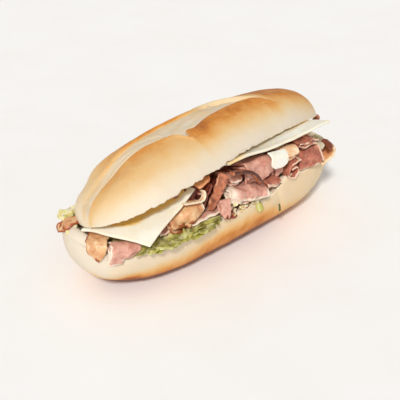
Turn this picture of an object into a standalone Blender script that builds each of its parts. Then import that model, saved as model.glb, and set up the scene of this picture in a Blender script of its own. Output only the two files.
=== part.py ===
"""A submarine sandwich: a split roll around cheese, shredded lettuce and folded slices of cold meat.

Metres, +Z up. The roll lies along X with its gaping side towards -Y, and it stands on Z = 0.
The origin is the middle of the flat base. Every length below is in millimetres, scaled by MM.
"""

import math
from dataclasses import dataclass

import bmesh
import bpy
from mathutils import Matrix, Vector

MM = 0.001
SEAM = 0.4                      # the gap that touching pieces keep

# The heel, the lower half of the roll.
HEEL_LENGTH = 214.0
HEEL_CENTRE = -2.0              # its middle along X
HEEL_STRETCH = 3.0              # how much further the foot of its left end reaches
HEEL_WIDTH = 80.0
HEEL_DEPTH = 37.0
HEEL_SWEEP = -6.4               # its ends lean this far forward
HEEL_TAPER = -0.06              # wider at the left end than at the right
HEEL_RISE = 5.5                 # its rim is this much higher at the left end
HEEL_RISE_FROM, HEEL_RISE_TO = -0.80, -0.97

# The crown, the upper half, seated on the heel's back edge and propped open at the front.
CROWN_LENGTH = 209.0
CROWN_WIDTH = 84.3
CROWN_DEPTH = 26.5
CROWN_TAPER = -0.17
CROWN_SWELL = 0.12              # deeper at the right end than at the left
CROWN_DROOP = -9.6              # its front ends sag this far
CROWN_LIFT = 4.5                # its cut face rises this much towards the back edge
CROWN_SHOULDER = -0.78          # where its back is slimmer and lower, near the left end
CROWN_SLIM = 0.17               # the share of the back's width that it loses there
CROWN_DROP = 5.9                # the height that the back loses there
CROWN_DIP = 1.5                 # a shallow saddle in the back, right of the middle
CROWN_DIP_AT = 0.48
CROWN_SEAT = Vector((3.1, 3.3, 55.0))
CROWN_TILT = math.radians(24.0)
CROWN_YAW = math.radians(7.0)
CROWN_PITCH = math.radians(2.0)

# The bloom, the pale strip of crumb that the crown's slash opened, between turns of the skin.
BLOOM_SINK = 2.8
LIP_RISE = 1.4
LIP_WIDTH = 0.13
NOTCH = -0.34                   # where the left lobe ends and the right one starts


def blunt(s, sharpness, roundness):
    """Height of a blunt round end at s, where s runs from -1 at one tip to 1 at the other."""
    return max(0.0, 1.0 - abs(s) ** sharpness) ** (1.0 / roundness)


def smooth(low, high, value):
    """A soft step from 0 at low to 1 at high."""
    t = min(1.0, max(0.0, (value - low) / (high - low)))
    return t * t * (3.0 - 2.0 * t)


def bell(value, width):
    """A bell curve of the given half width, 1 at the middle."""
    return math.exp(-((value / width) ** 2))


def turned(angle_about_z, elevation):
    """A unit direction: 0 is +X, 90 is +Y (the back), -90 is the front, and elevation is up."""
    a, e = math.radians(angle_about_z), math.radians(elevation)
    return Vector((math.cos(a) * math.cos(e), math.sin(a) * math.cos(e), math.sin(e)))


def plain_material(name, colour, roughness):
    material = bpy.data.materials.new(name)
    material.use_nodes = True
    shader = material.node_tree.nodes["Principled BSDF"]
    shader.inputs["Base Color"].default_value = (*colour, 1.0)
    shader.inputs["Roughness"].default_value = roughness
    shader.inputs["Metallic"].default_value = 0.0
    material.diffuse_color = (*colour, 1.0)
    return material


def place(name, mesh, material):
    """Turns a bmesh in millimetres into a named object in metres."""
    bmesh.ops.scale(mesh, vec=(MM, MM, MM), verts=mesh.verts)
    bmesh.ops.recalc_face_normals(mesh, faces=mesh.faces)
    data = bpy.data.meshes.new(name)
    mesh.to_mesh(data)
    mesh.free()
    data.materials.append(material)
    data.shade_smooth()
    thing = bpy.data.objects.new(name, data)
    bpy.context.scene.collection.objects.link(thing)
    return thing


def skin_rings(rings, tips):
    """A closed mesh through equal rings of points, with a tip point at each end."""
    mesh = bmesh.new()
    made = [[mesh.verts.new(point) for point in ring] for ring in rings]
    count = len(rings[0])
    for near, far in zip(made, made[1:]):
        for k in range(count):
            after = (k + 1) % count
            mesh.faces.new((near[k], near[after], far[after], far[k]))
    for tip, ring in zip(tips, (made[0], made[-1])):
        point = mesh.verts.new(tip)
        for k in range(count):
            mesh.faces.new((point, ring[k], ring[(k + 1) % count]))
    return mesh


def sheet(top, bottom):
    """A closed slab between two equal grids of points, given as rows."""
    mesh = bmesh.new()
    upper = [[mesh.verts.new(point) for point in row] for row in top]
    lower = [[mesh.verts.new(point) for point in row] for row in bottom]
    rows, columns = len(top), len(top[0])
    for i in range(rows - 1):
        for j in range(columns - 1):
            mesh.faces.new((upper[i][j], upper[i][j + 1], upper[i + 1][j + 1], upper[i + 1][j]))
            mesh.faces.new((lower[i][j], lower[i + 1][j], lower[i + 1][j + 1], lower[i][j + 1]))
    loop = [(0, j) for j in range(columns - 1)] + [(i, columns - 1) for i in range(rows - 1)]
    loop += [(rows - 1, j) for j in range(columns - 1, 0, -1)] + [(i, 0) for i in range(rows - 1, 0, -1)]
    for (i, j), (m, n) in zip(loop, loop[1:] + loop[:1]):
        mesh.faces.new((upper[i][j], lower[i][j], lower[m][n], upper[m][n]))
    return mesh


class HalfRoll:
    """One half of the roll: rounded skin outside, and a cut face of crumb inside."""

    stations = 38
    around = 20
    across = 6

    def half_width(self, s):
        return self.width / 2 * blunt(s, 2.7, 2.2) * (1 + self.taper * s)

    def section(self, s, turn):
        """Across and out of the skin, from turn -1 at the front edge of the cut to 1 at the back."""
        angle = turn * math.pi / 2
        power = 2.0 / self.fullness
        share = math.copysign(abs(math.sin(angle)) ** power, angle)
        deep = self.depth * blunt(s, 3.4, 2.4) * (1 + self.swell * s)
        return share, deep * abs(math.cos(angle)) ** power

    def mesh(self):
        rings = []
        for i in range(1, self.stations):
            s = -math.cos(math.pi * i / self.stations)
            ring = [self.skin(s, -1 + 2 * j / self.around) for j in range(self.around + 1)]
            ring += [self.cut(s, 1 - 2 * j / self.across) for j in range(1, self.across)]
            rings.append(ring)
        return skin_rings(rings, (self.cut(-1.0, 0.0), self.cut(1.0, 0.0)))


class Heel(HalfRoll):
    """The lower half, with a flat spot that it stands on."""

    length, width, depth = HEEL_LENGTH, HEEL_WIDTH, HEEL_DEPTH + 1.2
    taper, swell, fullness = HEEL_TAPER, 0.0, 2.7

    def rim(self, s):
        """Height of the cut face, which climbs at the left end."""
        return HEEL_DEPTH + HEEL_RISE * smooth(HEEL_RISE_FROM, HEEL_RISE_TO, s)

    def cut(self, s, share):
        x = s * self.length / 2 + HEEL_CENTRE
        return Vector((x, share * self.half_width(s) + HEEL_SWEEP * s * s, self.rim(s)))

    def skin(self, s, turn):
        share, out = self.section(s, turn)
        point = self.cut(s, share)
        point.z = max(0.0, self.rim(s) * (1 - out / HEEL_DEPTH))
        point.x -= HEEL_STRETCH * smooth(-0.6, -1.0, s) * (1 - point.z / self.rim(s))
        return point


class Crown(HalfRoll):
    """The upper half, split along its top by one long slash that opened as two lobes."""

    length, width, depth = CROWN_LENGTH, CROWN_WIDTH, CROWN_DEPTH
    taper, swell, fullness = CROWN_TAPER, CROWN_SWELL, 2.2
    stations = 42
    around = 28
    pose = (Matrix.Rotation(CROWN_YAW, 3, "Z") @ Matrix.Rotation(CROWN_PITCH, 3, "Y")
              @ Matrix.Rotation(-CROWN_TILT, 3, "X"))

    def to_world(self, point):
        return self.pose @ point + CROWN_SEAT

    def sag(self, s, share):
        """Height of the cut face over its own plane: sagging front ends and a lifted back edge."""
        inner = 1 - abs(s) ** 6
        front = CROWN_DROOP * s * s * (1 - inner * smooth(0.5, 1.0, share))
        return front + CROWN_LIFT * inner * max(0.0, share) ** 3

    def flat(self, s, share):
        slim = 1 - CROWN_SLIM * bell(s - CROWN_SHOULDER, 0.15) * smooth(0.0, 0.7, share)
        y = share * slim * self.half_width(s) - 0.8 * s * s
        return Vector((s * self.length / 2, y, self.sag(s, share)))

    def cut(self, s, share):
        return self.to_world(self.flat(s, share))

    def hollow(self, s, turn):
        """How much lower the back is near the left end and in its saddle."""
        shoulder = CROWN_DROP * bell(s - CROWN_SHOULDER, 0.20) * smooth(-0.3, 0.2, turn)
        return shoulder + CROWN_DIP * bell(s - CROWN_DIP_AT, 0.22) * smooth(-0.45, -0.15, turn)

    def bloom(self, s, turn):
        """How far the slash lifts or sinks the skin: a proud front lip and a sunk strip behind it."""
        lobe = 0.05 - 0.33 * smooth(-1.0, -0.3, s) if s < NOTCH else -0.30 - 0.20 * smooth(0.2, 0.45, s)
        back = 0.25 - 0.22 * smooth(-0.9, 0.0, s) - 0.35 * smooth(0.2, 0.42, s)
        present = smooth(-0.99, -0.9, s) * (1 - smooth(0.25, 0.42, s))
        inside = smooth(lobe, lobe + 0.08, turn) * (1 - smooth(back - 0.08, back + 0.03, turn))
        lip = math.exp(-((turn - lobe + 0.07) / LIP_WIDTH) ** 2)
        return present * (LIP_RISE * lip - BLOOM_SINK * inside)

    def skin(self, s, turn):
        share, out = self.section(s, turn)
        point = self.flat(s, share)
        angle = turn * math.pi / 2
        swell = self.bloom(s, turn)
        point.z += out + (swell - self.hollow(s, turn)) * math.cos(angle)
        point.y += swell * math.sin(angle)
        return self.to_world(point)

    def underside(self, x, y):
        """Height of the cut face over a point of the plan, on its plane carried on past its edge."""
        point = Vector((x, y, CROWN_SEAT.z))
        sag = 0.0
        for _ in range(12):
            local = self.pose.transposed() @ (point - CROWN_SEAT)
            s = min(0.97, max(-0.97, local.x / (self.length / 2)))
            sag = self.sag(s, min(1.0, max(-1.0, local.y / self.half_width(s))))
            point.z += (sag - local.z) / self.pose[2][2]
        return point.z


CROWN = Crown()


@dataclass
class Slice:
    """A slice of meat: a strip that follows a chain of bends, `across` being its flat direction.

    Directions are (angle about Z, elevation) pairs. A bend above 0 turns the strip towards
    `along` x `across`. With `edge` the start is at one long edge and not in the middle.
    """

    name: str
    kind: str
    start: tuple
    along: tuple
    across: tuple
    width: float
    bends: tuple
    edge: bool = False
    tip: float = 0.0
    butt: float = 0.0
    wave: float = 0.0
    waves: float = 1.5
    phase: float = 0.0
    thickness: float = 1.7
    flare: float = 0.0
    slant: float = 0.0
    cells: int = 4

    def stations(self):
        """Points, normals and distances along the strip's middle line."""
        along = turned(*self.along)
        across = turned(*self.across)
        across = (across - along * across.dot(along)).normalized()
        point = Vector(self.start)
        found = [(point.copy(), along.cross(across), 0.0)]
        run = 0.0
        for length, bend in self.bends:
            steps = max(1, math.ceil(max(length / 14.0, abs(bend) / 32.0)))
            for _ in range(steps):
                half = Matrix.Rotation(math.radians(-bend / steps / 2), 3, across)
                along = half @ along
                point = point + along * (length / steps)
                along = half @ along
                run += length / steps
                found.append((point.copy(), along.cross(across), run))
        return found, across, run

    def place(self, found, gone):
        """The middle line's point and normal some way along it."""
        for (start, first, low), (end, second, high) in zip(found, found[1:]):
            if gone <= high:
                share = (gone - low) / (high - low)
                return start.lerp(end, share), first.lerp(second, share).normalized()
        return found[-1][:2]

    def mesh(self):
        """The slab, its end cut at a slant: shorter at the right above 0, at the left below it."""
        found, across, run = self.stations()
        top, bottom = [], []
        for _, _, gone in found:
            half = self.width / 2 * (1 + self.flare * gone / run)
            for left, reach in ((run - gone, self.tip), (gone, self.butt)):
                if left < reach:
                    half *= max(0.3, math.sqrt(1 - (1 - left / reach) ** 2))
            upper, lower = [], []
            for j in range(self.cells + 1):
                u = -1 + 2 * j / self.cells
                short = abs(self.slant) * (1 + math.copysign(1.0, self.slant) * u) / 2
                point, normal = self.place(found, gone * (1 - short))
                ripple = self.wave * gone / run * math.sin(math.pi * self.waves * u + self.phase)
                middle = point + across * (half * u + (self.width / 2 if self.edge else 0.0))
                upper.append(middle + normal * (ripple + self.thickness / 2))
                lower.append(middle + normal * (ripple - self.thickness / 2))
            top.append(upper)
            bottom.append(lower)
        return sheet(top, bottom)


@dataclass
class Cheese:
    """A slice of cheese: a thin sheet from its front corner, pressed down where the crown is low."""

    name: str
    corner: tuple
    right: tuple
    back: tuple
    wave: float
    droop: float = 0.0
    thickness: float = 2.0
    cells: tuple = (8, 6)

    def point(self, u, v):
        point = Vector(self.corner) + Vector(self.right) * u + Vector(self.back) * v
        point.z += self.wave * (1 - v) * math.sin(7.0 * u + 4.0 * v)
        roof = CROWN.underside(point.x, point.y) - self.thickness - 2 * SEAM
        point.z = min(point.z, roof)
        sagging = smooth(0.12, 0.40, u) * (1 - 0.5 * smooth(0.6, 1.0, u)) * (1 - smooth(0.0, 0.35, v))
        point.z -= self.droop * sagging
        return point

    def mesh(self):
        across, deep = self.cells
        bottom = [[self.point(i / across, j / deep) for j in range(deep + 1)] for i in range(across + 1)]
        top = [[point + Vector((0, 0, self.thickness)) for point in row] for row in bottom]
        return sheet(top, bottom)


CHEESES = (
    Cheese("cheese_left", (-86, -49, 47.5), (48, 16, 10.6), (-17, 42, -1.5), wave=0.8),
    Cheese("cheese_right", (-17, -40, 71), (95, 4, -2.7), (-3, 40, -16.5), wave=0.4, droop=3.2),
)


class LettuceBed:
    """Shredded lettuce heaped on the heel, out to its uneven outline."""

    first, last = -95.5, 94.0
    columns, rows = 40, 5
    heel = Heel()

    def front(self, x):
        """The front outline: over the rim along the left half, behind it along the right."""
        s = (x - HEEL_CENTRE) / (self.heel.length / 2)
        rim = self.heel.cut(s, -1.0).y
        shown = smooth(-88, -79, x) * (1 - smooth(-34, -24, x))
        ragged = 1.2 * math.sin(0.55 * x) + 0.9 * math.sin(1.27 * x + 1.0)
        return rim + 5.0 - 8.0 * shown + 12.0 * (1 - smooth(-92, -84, x)) + ragged

    def back(self, x):
        s = (x - HEEL_CENTRE) / (self.heel.length / 2)
        return self.heel.cut(s, 1.0).y - 0.5 + 1.1 * math.sin(0.48 * x + 2.0)

    def mesh(self):
        top, bottom = [], []
        for i in range(self.columns + 1):
            x = self.first + (self.last - self.first) * i / self.columns
            floor = self.heel.rim((x - HEEL_CENTRE) / (self.heel.length / 2)) + SEAM
            upper, lower = [], []
            for j in range(self.rows + 1):
                share = j / self.rows
                y = self.front(x) + (self.back(x) - self.front(x)) * share
                edge = smooth(0.0, 0.15, share) * (1 - smooth(0.85, 1.0, share))
                heap = 1.0 + (1.9 - 1.7 * share) * edge
                heap += 0.35 * edge * math.sin(0.8 * x + 0.5 * y)
                upper.append(Vector((x, y, floor + heap)))
                lower.append(Vector((x, y, floor)))
            top.append(upper)
            bottom.append(lower)
        return sheet(top, bottom)


FRONT, RIGHT, BACK = -90, 0, 90

SLICES = (
    # Two slices lie flat on the lettuce and run through to the back.
    Slice("beef_layer", "beef", (-33, -30, 42.1), (BACK, -1.6), (180, 0), 60, ((63, 0),),
          wave=0.3, waves=5, thickness=1.5, cells=10),
    Slice("ham_layer", "ham", (35, -29, 42.1), (BACK, -1.8), (180, 0), 60, ((58, 0),),
          wave=0.3, waves=5, thickness=1.5, cells=10),
    # The left end: a slice hanging over the heel's tip, and two draped over its rim.
    Slice("turkey_end", "turkey", (-86, 5, 42.6), (180, 9), (BACK, 0), 8, ((15.5, -5), (10, 72)),
          tip=4),
    Slice("lettuce_tuft", "lettuce", (-86.5, 16.4, 43.6), (194, 12), (104, 0), 8,
          ((10, -2), (6, 30), (2, 0)), thickness=1.8, tip=4),
    Slice("turkey_tongue", "turkey", (-91.4, -9.8, 43.8), (-134, 2), (-44, 0), 12.5,
          ((15, 6), (7, -98), (9, -3)), tip=10, slant=-0.14),
    Slice("ham_drape", "ham", (-88.5, -28.6, 42.8), (-116, 5), (-26, -4), 18.2,
          ((3, 4), (8, -112), (6, 6)), wave=0.4, slant=0.5),
    # Between the left cheese and the big ham fold.
    Slice("ham_sheet", "ham", (-62, -20, 44.2), (FRONT, -0.5), (RIGHT, 0), 16,
          ((12, 0), (6, -26), (5, 0)), wave=0.4),
    Slice("turkey_large", "turkey", (-50, -14, 46.2), (FRONT, 14), (RIGHT, 3), 28,
          ((19, 0), (10, -98), (2.5, 8)), wave=1.0, tip=4),
    Slice("turkey_curl", "turkey", (-52.5, -41.4, 58.2), (RIGHT, -14), (BACK, -14), 4.2,
          ((13, 0), (9, 150)), edge=True, thickness=1.3),
    Slice("turkey_sliver", "turkey", (-39.4, -38.5, 62.4), (RIGHT, 14), (BACK, 6), 8, ((11, 0),),
          edge=True, tip=4),
    Slice("beef_strip_1", "beef", (-34.9, -38, 48.4), (RIGHT, 68), (BACK, -20), 14, ((8, -14), (6, 10)),
          edge=True, thickness=1.9),
    Slice("beef_strip_2", "beef", (-20.4, -40, 66.0), (180, -61), (126, 18), 6, ((12, 12), (12.5, -16)),
          tip=8, thickness=2.0),
    Slice("beef_strip_3", "beef", (-25, -37, 46), (RIGHT, 80), (BACK, -22), 15, ((8, -18), (8, -12)),
          edge=True, thickness=1.9),
    Slice("ham_low", "ham", (-34, -31.2, 42.0), (FRONT, -1), (RIGHT, -1), 26, ((10.6, 0),)),
    Slice("ham_tongue", "ham", (-22.2, -42.6, 50.0), (-104, -76), (-14, 18), 7, ((7, 0), (5, -8)),
          tip=5),
    # The middle: frilled ham below an arch of beef and a large hanging fold.
    Slice("ham_frill", "ham", (-2, -20, 48.6), (FRONT, 2), (RIGHT, -17), 33,
          ((20, 0), (5, -90), (4, 0)), wave=1.0, waves=2.5, tip=3),
    Slice("beef_arch", "beef", (-18, -45, 66.6), (RIGHT, -8), (BACK, -12), 4.5,
          ((12, -10), (8, -28), (10, -20)), edge=True, thickness=2.0),
    Slice("ham_under", "ham", (-8, -24, 56.0), (FRONT, 4), (RIGHT, -10), 12, ((11, 0), (5, -60)), tip=3),
    Slice("ham_big", "ham", (12, -22, 56.0), (FRONT, 22), (RIGHT, -3), 24,
          ((13, 0), (6, -112), (8, 0)), wave=0.8),
    Slice("cheese_corner", "cheese", (24, -38.5, 64.4), (FRONT, 0), (RIGHT, -8), 15,
          ((3, -30), (4, -55), (5.5, 0)), tip=5),
    Slice("ham_mid", "ham", (27.4, -26, 53.0), (FRONT, 4), (RIGHT, 22), 7.6, ((7, 0), (6, -95), (6, 0)),
          tip=2),
    Slice("beef_low", "beef", (22, -20, 44.4), (FRONT, 1), (RIGHT, -4), 13, ((18, 0), (5, -70)), wave=0.6),
    # The right end.
    Slice("turkey_brown", "turkey", (39, -28, 57.8), (FRONT, 20), (RIGHT, -6), 13,
          ((7, 0), (6, -105), (2.5, 0)), tip=2.5),
    Slice("ham_roll", "ham", (37.5, -42, 46.6), (RIGHT, 60), (BACK, 0), 12,
          ((6, -115), (9, -130), (11, -130), (11, -60)), edge=True, thickness=1.5),
    Slice("ham_upper", "ham", (55, -20, 57.2), (FRONT, 9), (RIGHT, -5), 18, ((20, 0),)),
    Slice("ham_fold", "ham", (58, -24, 54.6), (FRONT, -18), (RIGHT, 5), 18, ((10, -8), (9, -44))),
    Slice("turkey_loop", "turkey", (68.5, -40, 38.4), (RIGHT, -8), (BACK, 20), 10,
          ((9, 60), (9, 85), (6, 50)), edge=True, thickness=2.0),
    Slice("beef_end", "beef", (88, -3.8, 42.4), (4, 12), (94, 0), 5, ((12, 0), (4, 45), (3, 0)), tip=3),
)

FILLINGS = {
    "ham": ((0.72, 0.40, 0.32), 0.45),
    "turkey": ((0.82, 0.58, 0.38), 0.5),
    "beef": ((0.32, 0.12, 0.08), 0.45),
    "cheese": ((0.91, 0.84, 0.66), 0.4),
    "lettuce": ((0.55, 0.60, 0.25), 0.5),
}


def clear_scene():
    for thing in list(bpy.data.objects):
        bpy.data.objects.remove(thing, do_unlink=True)


def main():
    clear_scene()
    crust = plain_material("crust", (0.80, 0.60, 0.36), 0.6)
    place("heel", Heel().mesh(), crust)
    place("crown", CROWN.mesh(), crust)
    fillings = {kind: plain_material(kind, *look) for kind, look in FILLINGS.items()}
    for item in SLICES:
        place(item.name, item.mesh(), fillings[item.kind])
    for item in CHEESES:
        place(item.name, item.mesh(), fillings["cheese"])
    place("lettuce_bed", LettuceBed().mesh(), fillings["lettuce"])


main()
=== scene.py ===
"""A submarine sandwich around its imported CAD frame: split roll, cheese, cold meats and lettuce.

Lengths in this file are millimetres and are scaled by MM when a mesh is made. The roll lies along
X, its open side faces -Y, and it stands on Z = 0, as in the frame.
"""

from __future__ import annotations

import itertools
import logging
import math
from dataclasses import dataclass, field, replace
from enum import Enum

import bpy
import numpy as np
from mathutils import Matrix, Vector


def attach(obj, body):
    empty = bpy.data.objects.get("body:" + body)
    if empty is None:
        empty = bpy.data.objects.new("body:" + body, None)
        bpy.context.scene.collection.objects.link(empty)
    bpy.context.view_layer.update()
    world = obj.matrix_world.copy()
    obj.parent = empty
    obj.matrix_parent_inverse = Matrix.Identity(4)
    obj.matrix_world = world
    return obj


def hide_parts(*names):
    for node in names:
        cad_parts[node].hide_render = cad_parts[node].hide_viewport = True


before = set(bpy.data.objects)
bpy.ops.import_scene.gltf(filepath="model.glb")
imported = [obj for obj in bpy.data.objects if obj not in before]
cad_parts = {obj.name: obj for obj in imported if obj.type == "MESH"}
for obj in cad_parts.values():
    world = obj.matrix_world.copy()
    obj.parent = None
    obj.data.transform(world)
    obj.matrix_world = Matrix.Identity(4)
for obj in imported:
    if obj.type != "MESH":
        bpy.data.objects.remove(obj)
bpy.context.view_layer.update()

Array = np.ndarray
Colour = tuple[float, float, float]
Point = tuple[float, float, float]
Pair = tuple[float, float]
Curve = tuple[Pair, ...]
Masks = dict[str, Array]

LOG = logging.getLogger("sandwich")
MM = 0.001
BODY = "root"
FRONT, RIGHT, BACK, LEFT = -90.0, 0.0, 90.0, 180.0


class Slot(Enum):
    """The record's material slots."""

    CRUST = "crust"
    HAM = "ham"
    TURKEY = "turkey"
    BEEF = "beef"
    CHEESE = "cheese"
    LETTUCE = "lettuce"


class Mask(Enum):
    """Values that the meshes carry from point to point for the materials to read."""

    BAKE = "bake"
    CRUMB = "crumb"
    FAT = "fat"
    # Browned edges on meat and crumbs; on the cheese, painted shadow under the crown's edge.
    BROWNED_OR_SHADOW = "browned"
    RIB = "rib"


# ---------------------------------------------------------------------------------------------
# Numbers over arrays
# ---------------------------------------------------------------------------------------------


def step(low: float, high: float, value: Array) -> Array:
    """A soft step of the values, which leaves 0 at `low` and reaches 1 at `high`."""
    t = np.clip((value - low) / (high - low), 0.0, 1.0)
    return t * t * (3.0 - 2.0 * t)


def bell(value: Array, width: float) -> Array:
    """A bell curve of the given half width, 1 at the middle."""
    return np.exp(-((value / width) ** 2))


def blunt(s: Array, sharpness: float, roundness: float) -> Array:
    """Height of a blunt round end at s, where s runs from -1 at one tip to 1 at the other."""
    return np.maximum(0.0, 1.0 - np.abs(s) ** sharpness) ** (1.0 / roundness)


def rounded(border: Array, reach: float, least: float) -> Array:
    """A round edge: shares of a sheet's thickness, `least` at its border and 1 from `reach` in."""
    inward = np.clip(border / reach, 0.0, 1.0)
    return np.maximum(least, np.sqrt(1 - (1 - inward) ** 2))


def heading(angle_about_z: float, elevation: float) -> Array:
    """A unit direction: 0 is +X, 90 is +Y (the back), -90 is the front, and elevation is up."""
    a, e = math.radians(angle_about_z), math.radians(elevation)
    return np.array((math.cos(a) * math.cos(e), math.sin(a) * math.cos(e), math.sin(e)))


def through(stops: Curve, value: Array) -> Array:
    """A smooth curve through a few stops.

    Args:
        stops: (where, height) pairs in rising order.
        value: where to read the curve.

    Returns:
        The heights, level beyond the first and last stop.
    """
    x = np.array([stop[0] for stop in stops])
    y = np.array([stop[1] for stop in stops])
    slope = np.gradient(y, x)
    i = np.clip(np.searchsorted(x, value) - 1, 0, len(x) - 2)
    span = x[i + 1] - x[i]
    t = np.clip((value - x[i]) / span, 0.0, 1.0)
    first = (1 + 2 * t) * (1 - t) ** 2 * y[i] + t * t * (3 - 2 * t) * y[i + 1]
    return first + span * (t * (1 - t) ** 2 * slope[i] - t * t * (1 - t) * slope[i + 1])


@dataclass(frozen=True)
class Noise:
    """Smooth lumpy noise in space, from about -1 to 1, the same on every run."""

    size: float
    seed: int
    octaves: int = 3
    gain: float = 0.5
    stretch: Point = (1.0, 1.0, 1.0)

    def layer(self, points: Array, size: float, seed: int) -> Array:
        """One octave: random heights at the corners of cells, blended inside them.

        Args:
            points: places, three numbers each.
            size: side of a cell.
            seed: which random heights.

        Returns:
            A value from -1 to 1 at each place.
        """
        scaled = points / (np.array(self.stretch) * size)
        cell = np.floor(scaled).astype(np.int64)
        part = scaled - cell
        part = part * part * part * (part * (part * 6 - 15) + 10)
        total = np.zeros(points.shape[:-1])
        for corner in itertools.product((0, 1), repeat=3):
            mixed = (cell + np.array(corner)) * np.array((73856093, 19349663, 83492791))
            code = (mixed[..., 0] ^ mixed[..., 1] ^ mixed[..., 2] ^ (seed * 2654435761)) & 0xFFFFFFFF
            code = ((code ^ (code >> 15)) * 2246822519) & 0xFFFFFFFF
            code = ((code ^ (code >> 13)) * 3266489917) & 0xFFFFFFFF
            height = ((code ^ (code >> 16)) & 0xFFFF) / 32767.5 - 1.0
            total += height * np.prod(np.where(corner, part, 1 - part), axis=-1)
        return total

    def at(self, points: Array) -> Array:
        """The noise with all its octaves.

        Args:
            points: places, three numbers each.

        Returns:
            A value from about -1 to 1 at each place.
        """
        total = np.zeros(points.shape[:-1])
        for octave in range(self.octaves):
            total += self.gain**octave * self.layer(points, self.size / 2**octave, self.seed + octave)
        return total


def normals(grid: Array) -> Array:
    """Unit normals of a grid, from the rows and columns around each point.

    Args:
        grid: points as rows by columns by three.

    Returns:
        The normals, in the same shape.
    """
    along = np.gradient(grid, axis=0)
    beside = np.gradient(grid, axis=1)
    normal = np.cross(along, beside)
    return normal / np.maximum(1e-9, np.linalg.norm(normal, axis=-1, keepdims=True))


# ---------------------------------------------------------------------------------------------
# Meshes
# ---------------------------------------------------------------------------------------------


@dataclass
class Shell:
    """A mesh in the making: its points, its faces, and its masks' value at each point."""

    points: Array
    faces: list[tuple[int, ...]]
    masks: Masks = field(default_factory=dict)

    @staticmethod
    def ringed(rings: Array, tips: Array, masks: Masks) -> Shell:
        """A closed shell through rings of points, with one point at each tip.

        Args:
            rings: points as stations by ring by three.
            tips: the two end points.
            masks: values as stations by ring.

        Returns:
            The shell; a tip takes its nearest ring's middle value.
        """
        stations, around = rings.shape[:2]
        i, j = np.meshgrid(np.arange(stations - 1), np.arange(around), indexing="ij")
        after = (j + 1) % around
        here, there = i * around, (i + 1) * around
        quads = np.stack((here + j, there + j, there + after, here + after), -1)
        faces = [tuple(quad) for quad in quads.reshape(-1, 4).tolist()]
        first, last = stations * around, stations * around + 1
        end = (stations - 1) * around
        for k in range(around):
            faces.append((first, k, (k + 1) % around))
            faces.append((last, end + (k + 1) % around, end + k))
        points = np.concatenate((rings.reshape(-1, 3), tips))
        values = {}
        for name, value in masks.items():
            values[name] = np.concatenate((value.ravel(), (value[0, 0], value[-1, 0])))
        return Shell(points, faces, values)

    @staticmethod
    def slab(top: Array, bottom: Array, masks: Masks) -> Shell:
        """A closed slab between two equal grids of points.

        Args:
            top: upper points as rows by columns by three.
            bottom: lower points in the same order.
            masks: values as rows by columns, used on both sides.

        Returns:
            The shell.
        """
        rows, columns = top.shape[:2]
        count = rows * columns
        i, j = np.meshgrid(np.arange(rows - 1), np.arange(columns - 1), indexing="ij")
        a = i * columns + j
        upper = np.stack((a, a + columns, a + columns + 1, a + 1), -1).reshape(-1, 4)
        lower = upper[:, ::-1] + count
        faces = [tuple(quad) for quad in np.concatenate((upper, lower)).tolist()]
        loop = [j for j in range(columns - 1)] + [i * columns + columns - 1 for i in range(rows - 1)]
        loop += [(rows - 1) * columns + j for j in range(columns - 1, 0, -1)]
        loop += [i * columns for i in range(rows - 1, 0, -1)]
        for here, there in zip(loop, loop[1:] + loop[:1]):
            faces.append((here, there, there + count, here + count))
        points = np.concatenate((top.reshape(-1, 3), bottom.reshape(-1, 3)))
        values = {name: np.concatenate((value.ravel(), value.ravel())) for name, value in masks.items()}
        return Shell(points, faces, values)

    @staticmethod
    def sheet(middle: Array, side: Array, masks: Masks) -> Shell:
        """A closed slab around a middle surface, reaching `side` from it both ways."""
        return Shell.slab(middle + side, middle - side, masks)

    @staticmethod
    def joined(shells: list[Shell]) -> Shell:
        """Several shells as one.

        Args:
            shells: shells that all carry the first one's masks.

        Returns:
            The joined shell.
        """
        faces: list[tuple[int, ...]] = []
        start = 0
        for shell in shells:
            faces += [tuple(corner + start for corner in face) for face in shell.faces]
            start += len(shell.points)
        values = {
            name: np.concatenate([shell.masks[name] for shell in shells]) for name in shells[0].masks
        }
        return Shell(np.concatenate([shell.points for shell in shells]), faces, values)

    def build(self, name: str, material: bpy.types.Material) -> bpy.types.Object:
        """Makes the object, in metres.

        Args:
            name: the piece's name.
            material: its finish.

        Returns:
            The new object, linked to the scene.
        """
        mesh = bpy.data.meshes.new(name)
        mesh.from_pydata((self.points * MM).tolist(), [], self.faces)
        for label, value in self.masks.items():
            layer = mesh.attributes.new(label, "FLOAT", "POINT")
            layer.data.foreach_set("value", np.clip(value, 0.0, 1.0).astype(np.float32))
        mesh.materials.append(material)
        mesh.shade_smooth()
        mesh.update()
        thing = bpy.data.objects.new(name, mesh)
        bpy.context.scene.collection.objects.link(thing)
        return thing


def serve(thing: bpy.types.Object, slot: Slot, *nodes: str) -> bpy.types.Object:
    """Ties a piece to the frame.

    Args:
        thing: the piece.
        slot: the record's slot for the piece's finish; not used.
        nodes: the CAD nodes it stands for.

    Returns:
        The same piece.
    """
    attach(thing, BODY)
    if nodes:
        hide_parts(*nodes)
    LOG.info("%s: %d faces", thing.name, len(thing.data.polygons))
    return thing


# ---------------------------------------------------------------------------------------------
# Node trees and the effects that finishes share
# ---------------------------------------------------------------------------------------------

Socket = bpy.types.NodeSocket
Feed = Socket | float | Colour
Feeds = dict[str | int, Feed]
Stops = tuple[tuple[float, Colour], ...]


def paint(red: float, green: float, blue: float) -> Colour:
    """A linear colour from display values of 0 to 255."""
    shares = [value / 255 for value in (red, green, blue)]
    return tuple(((share + 0.055) / 1.055) ** 2.4 if share > 0.04 else share / 12.92 for share in shares)


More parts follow.
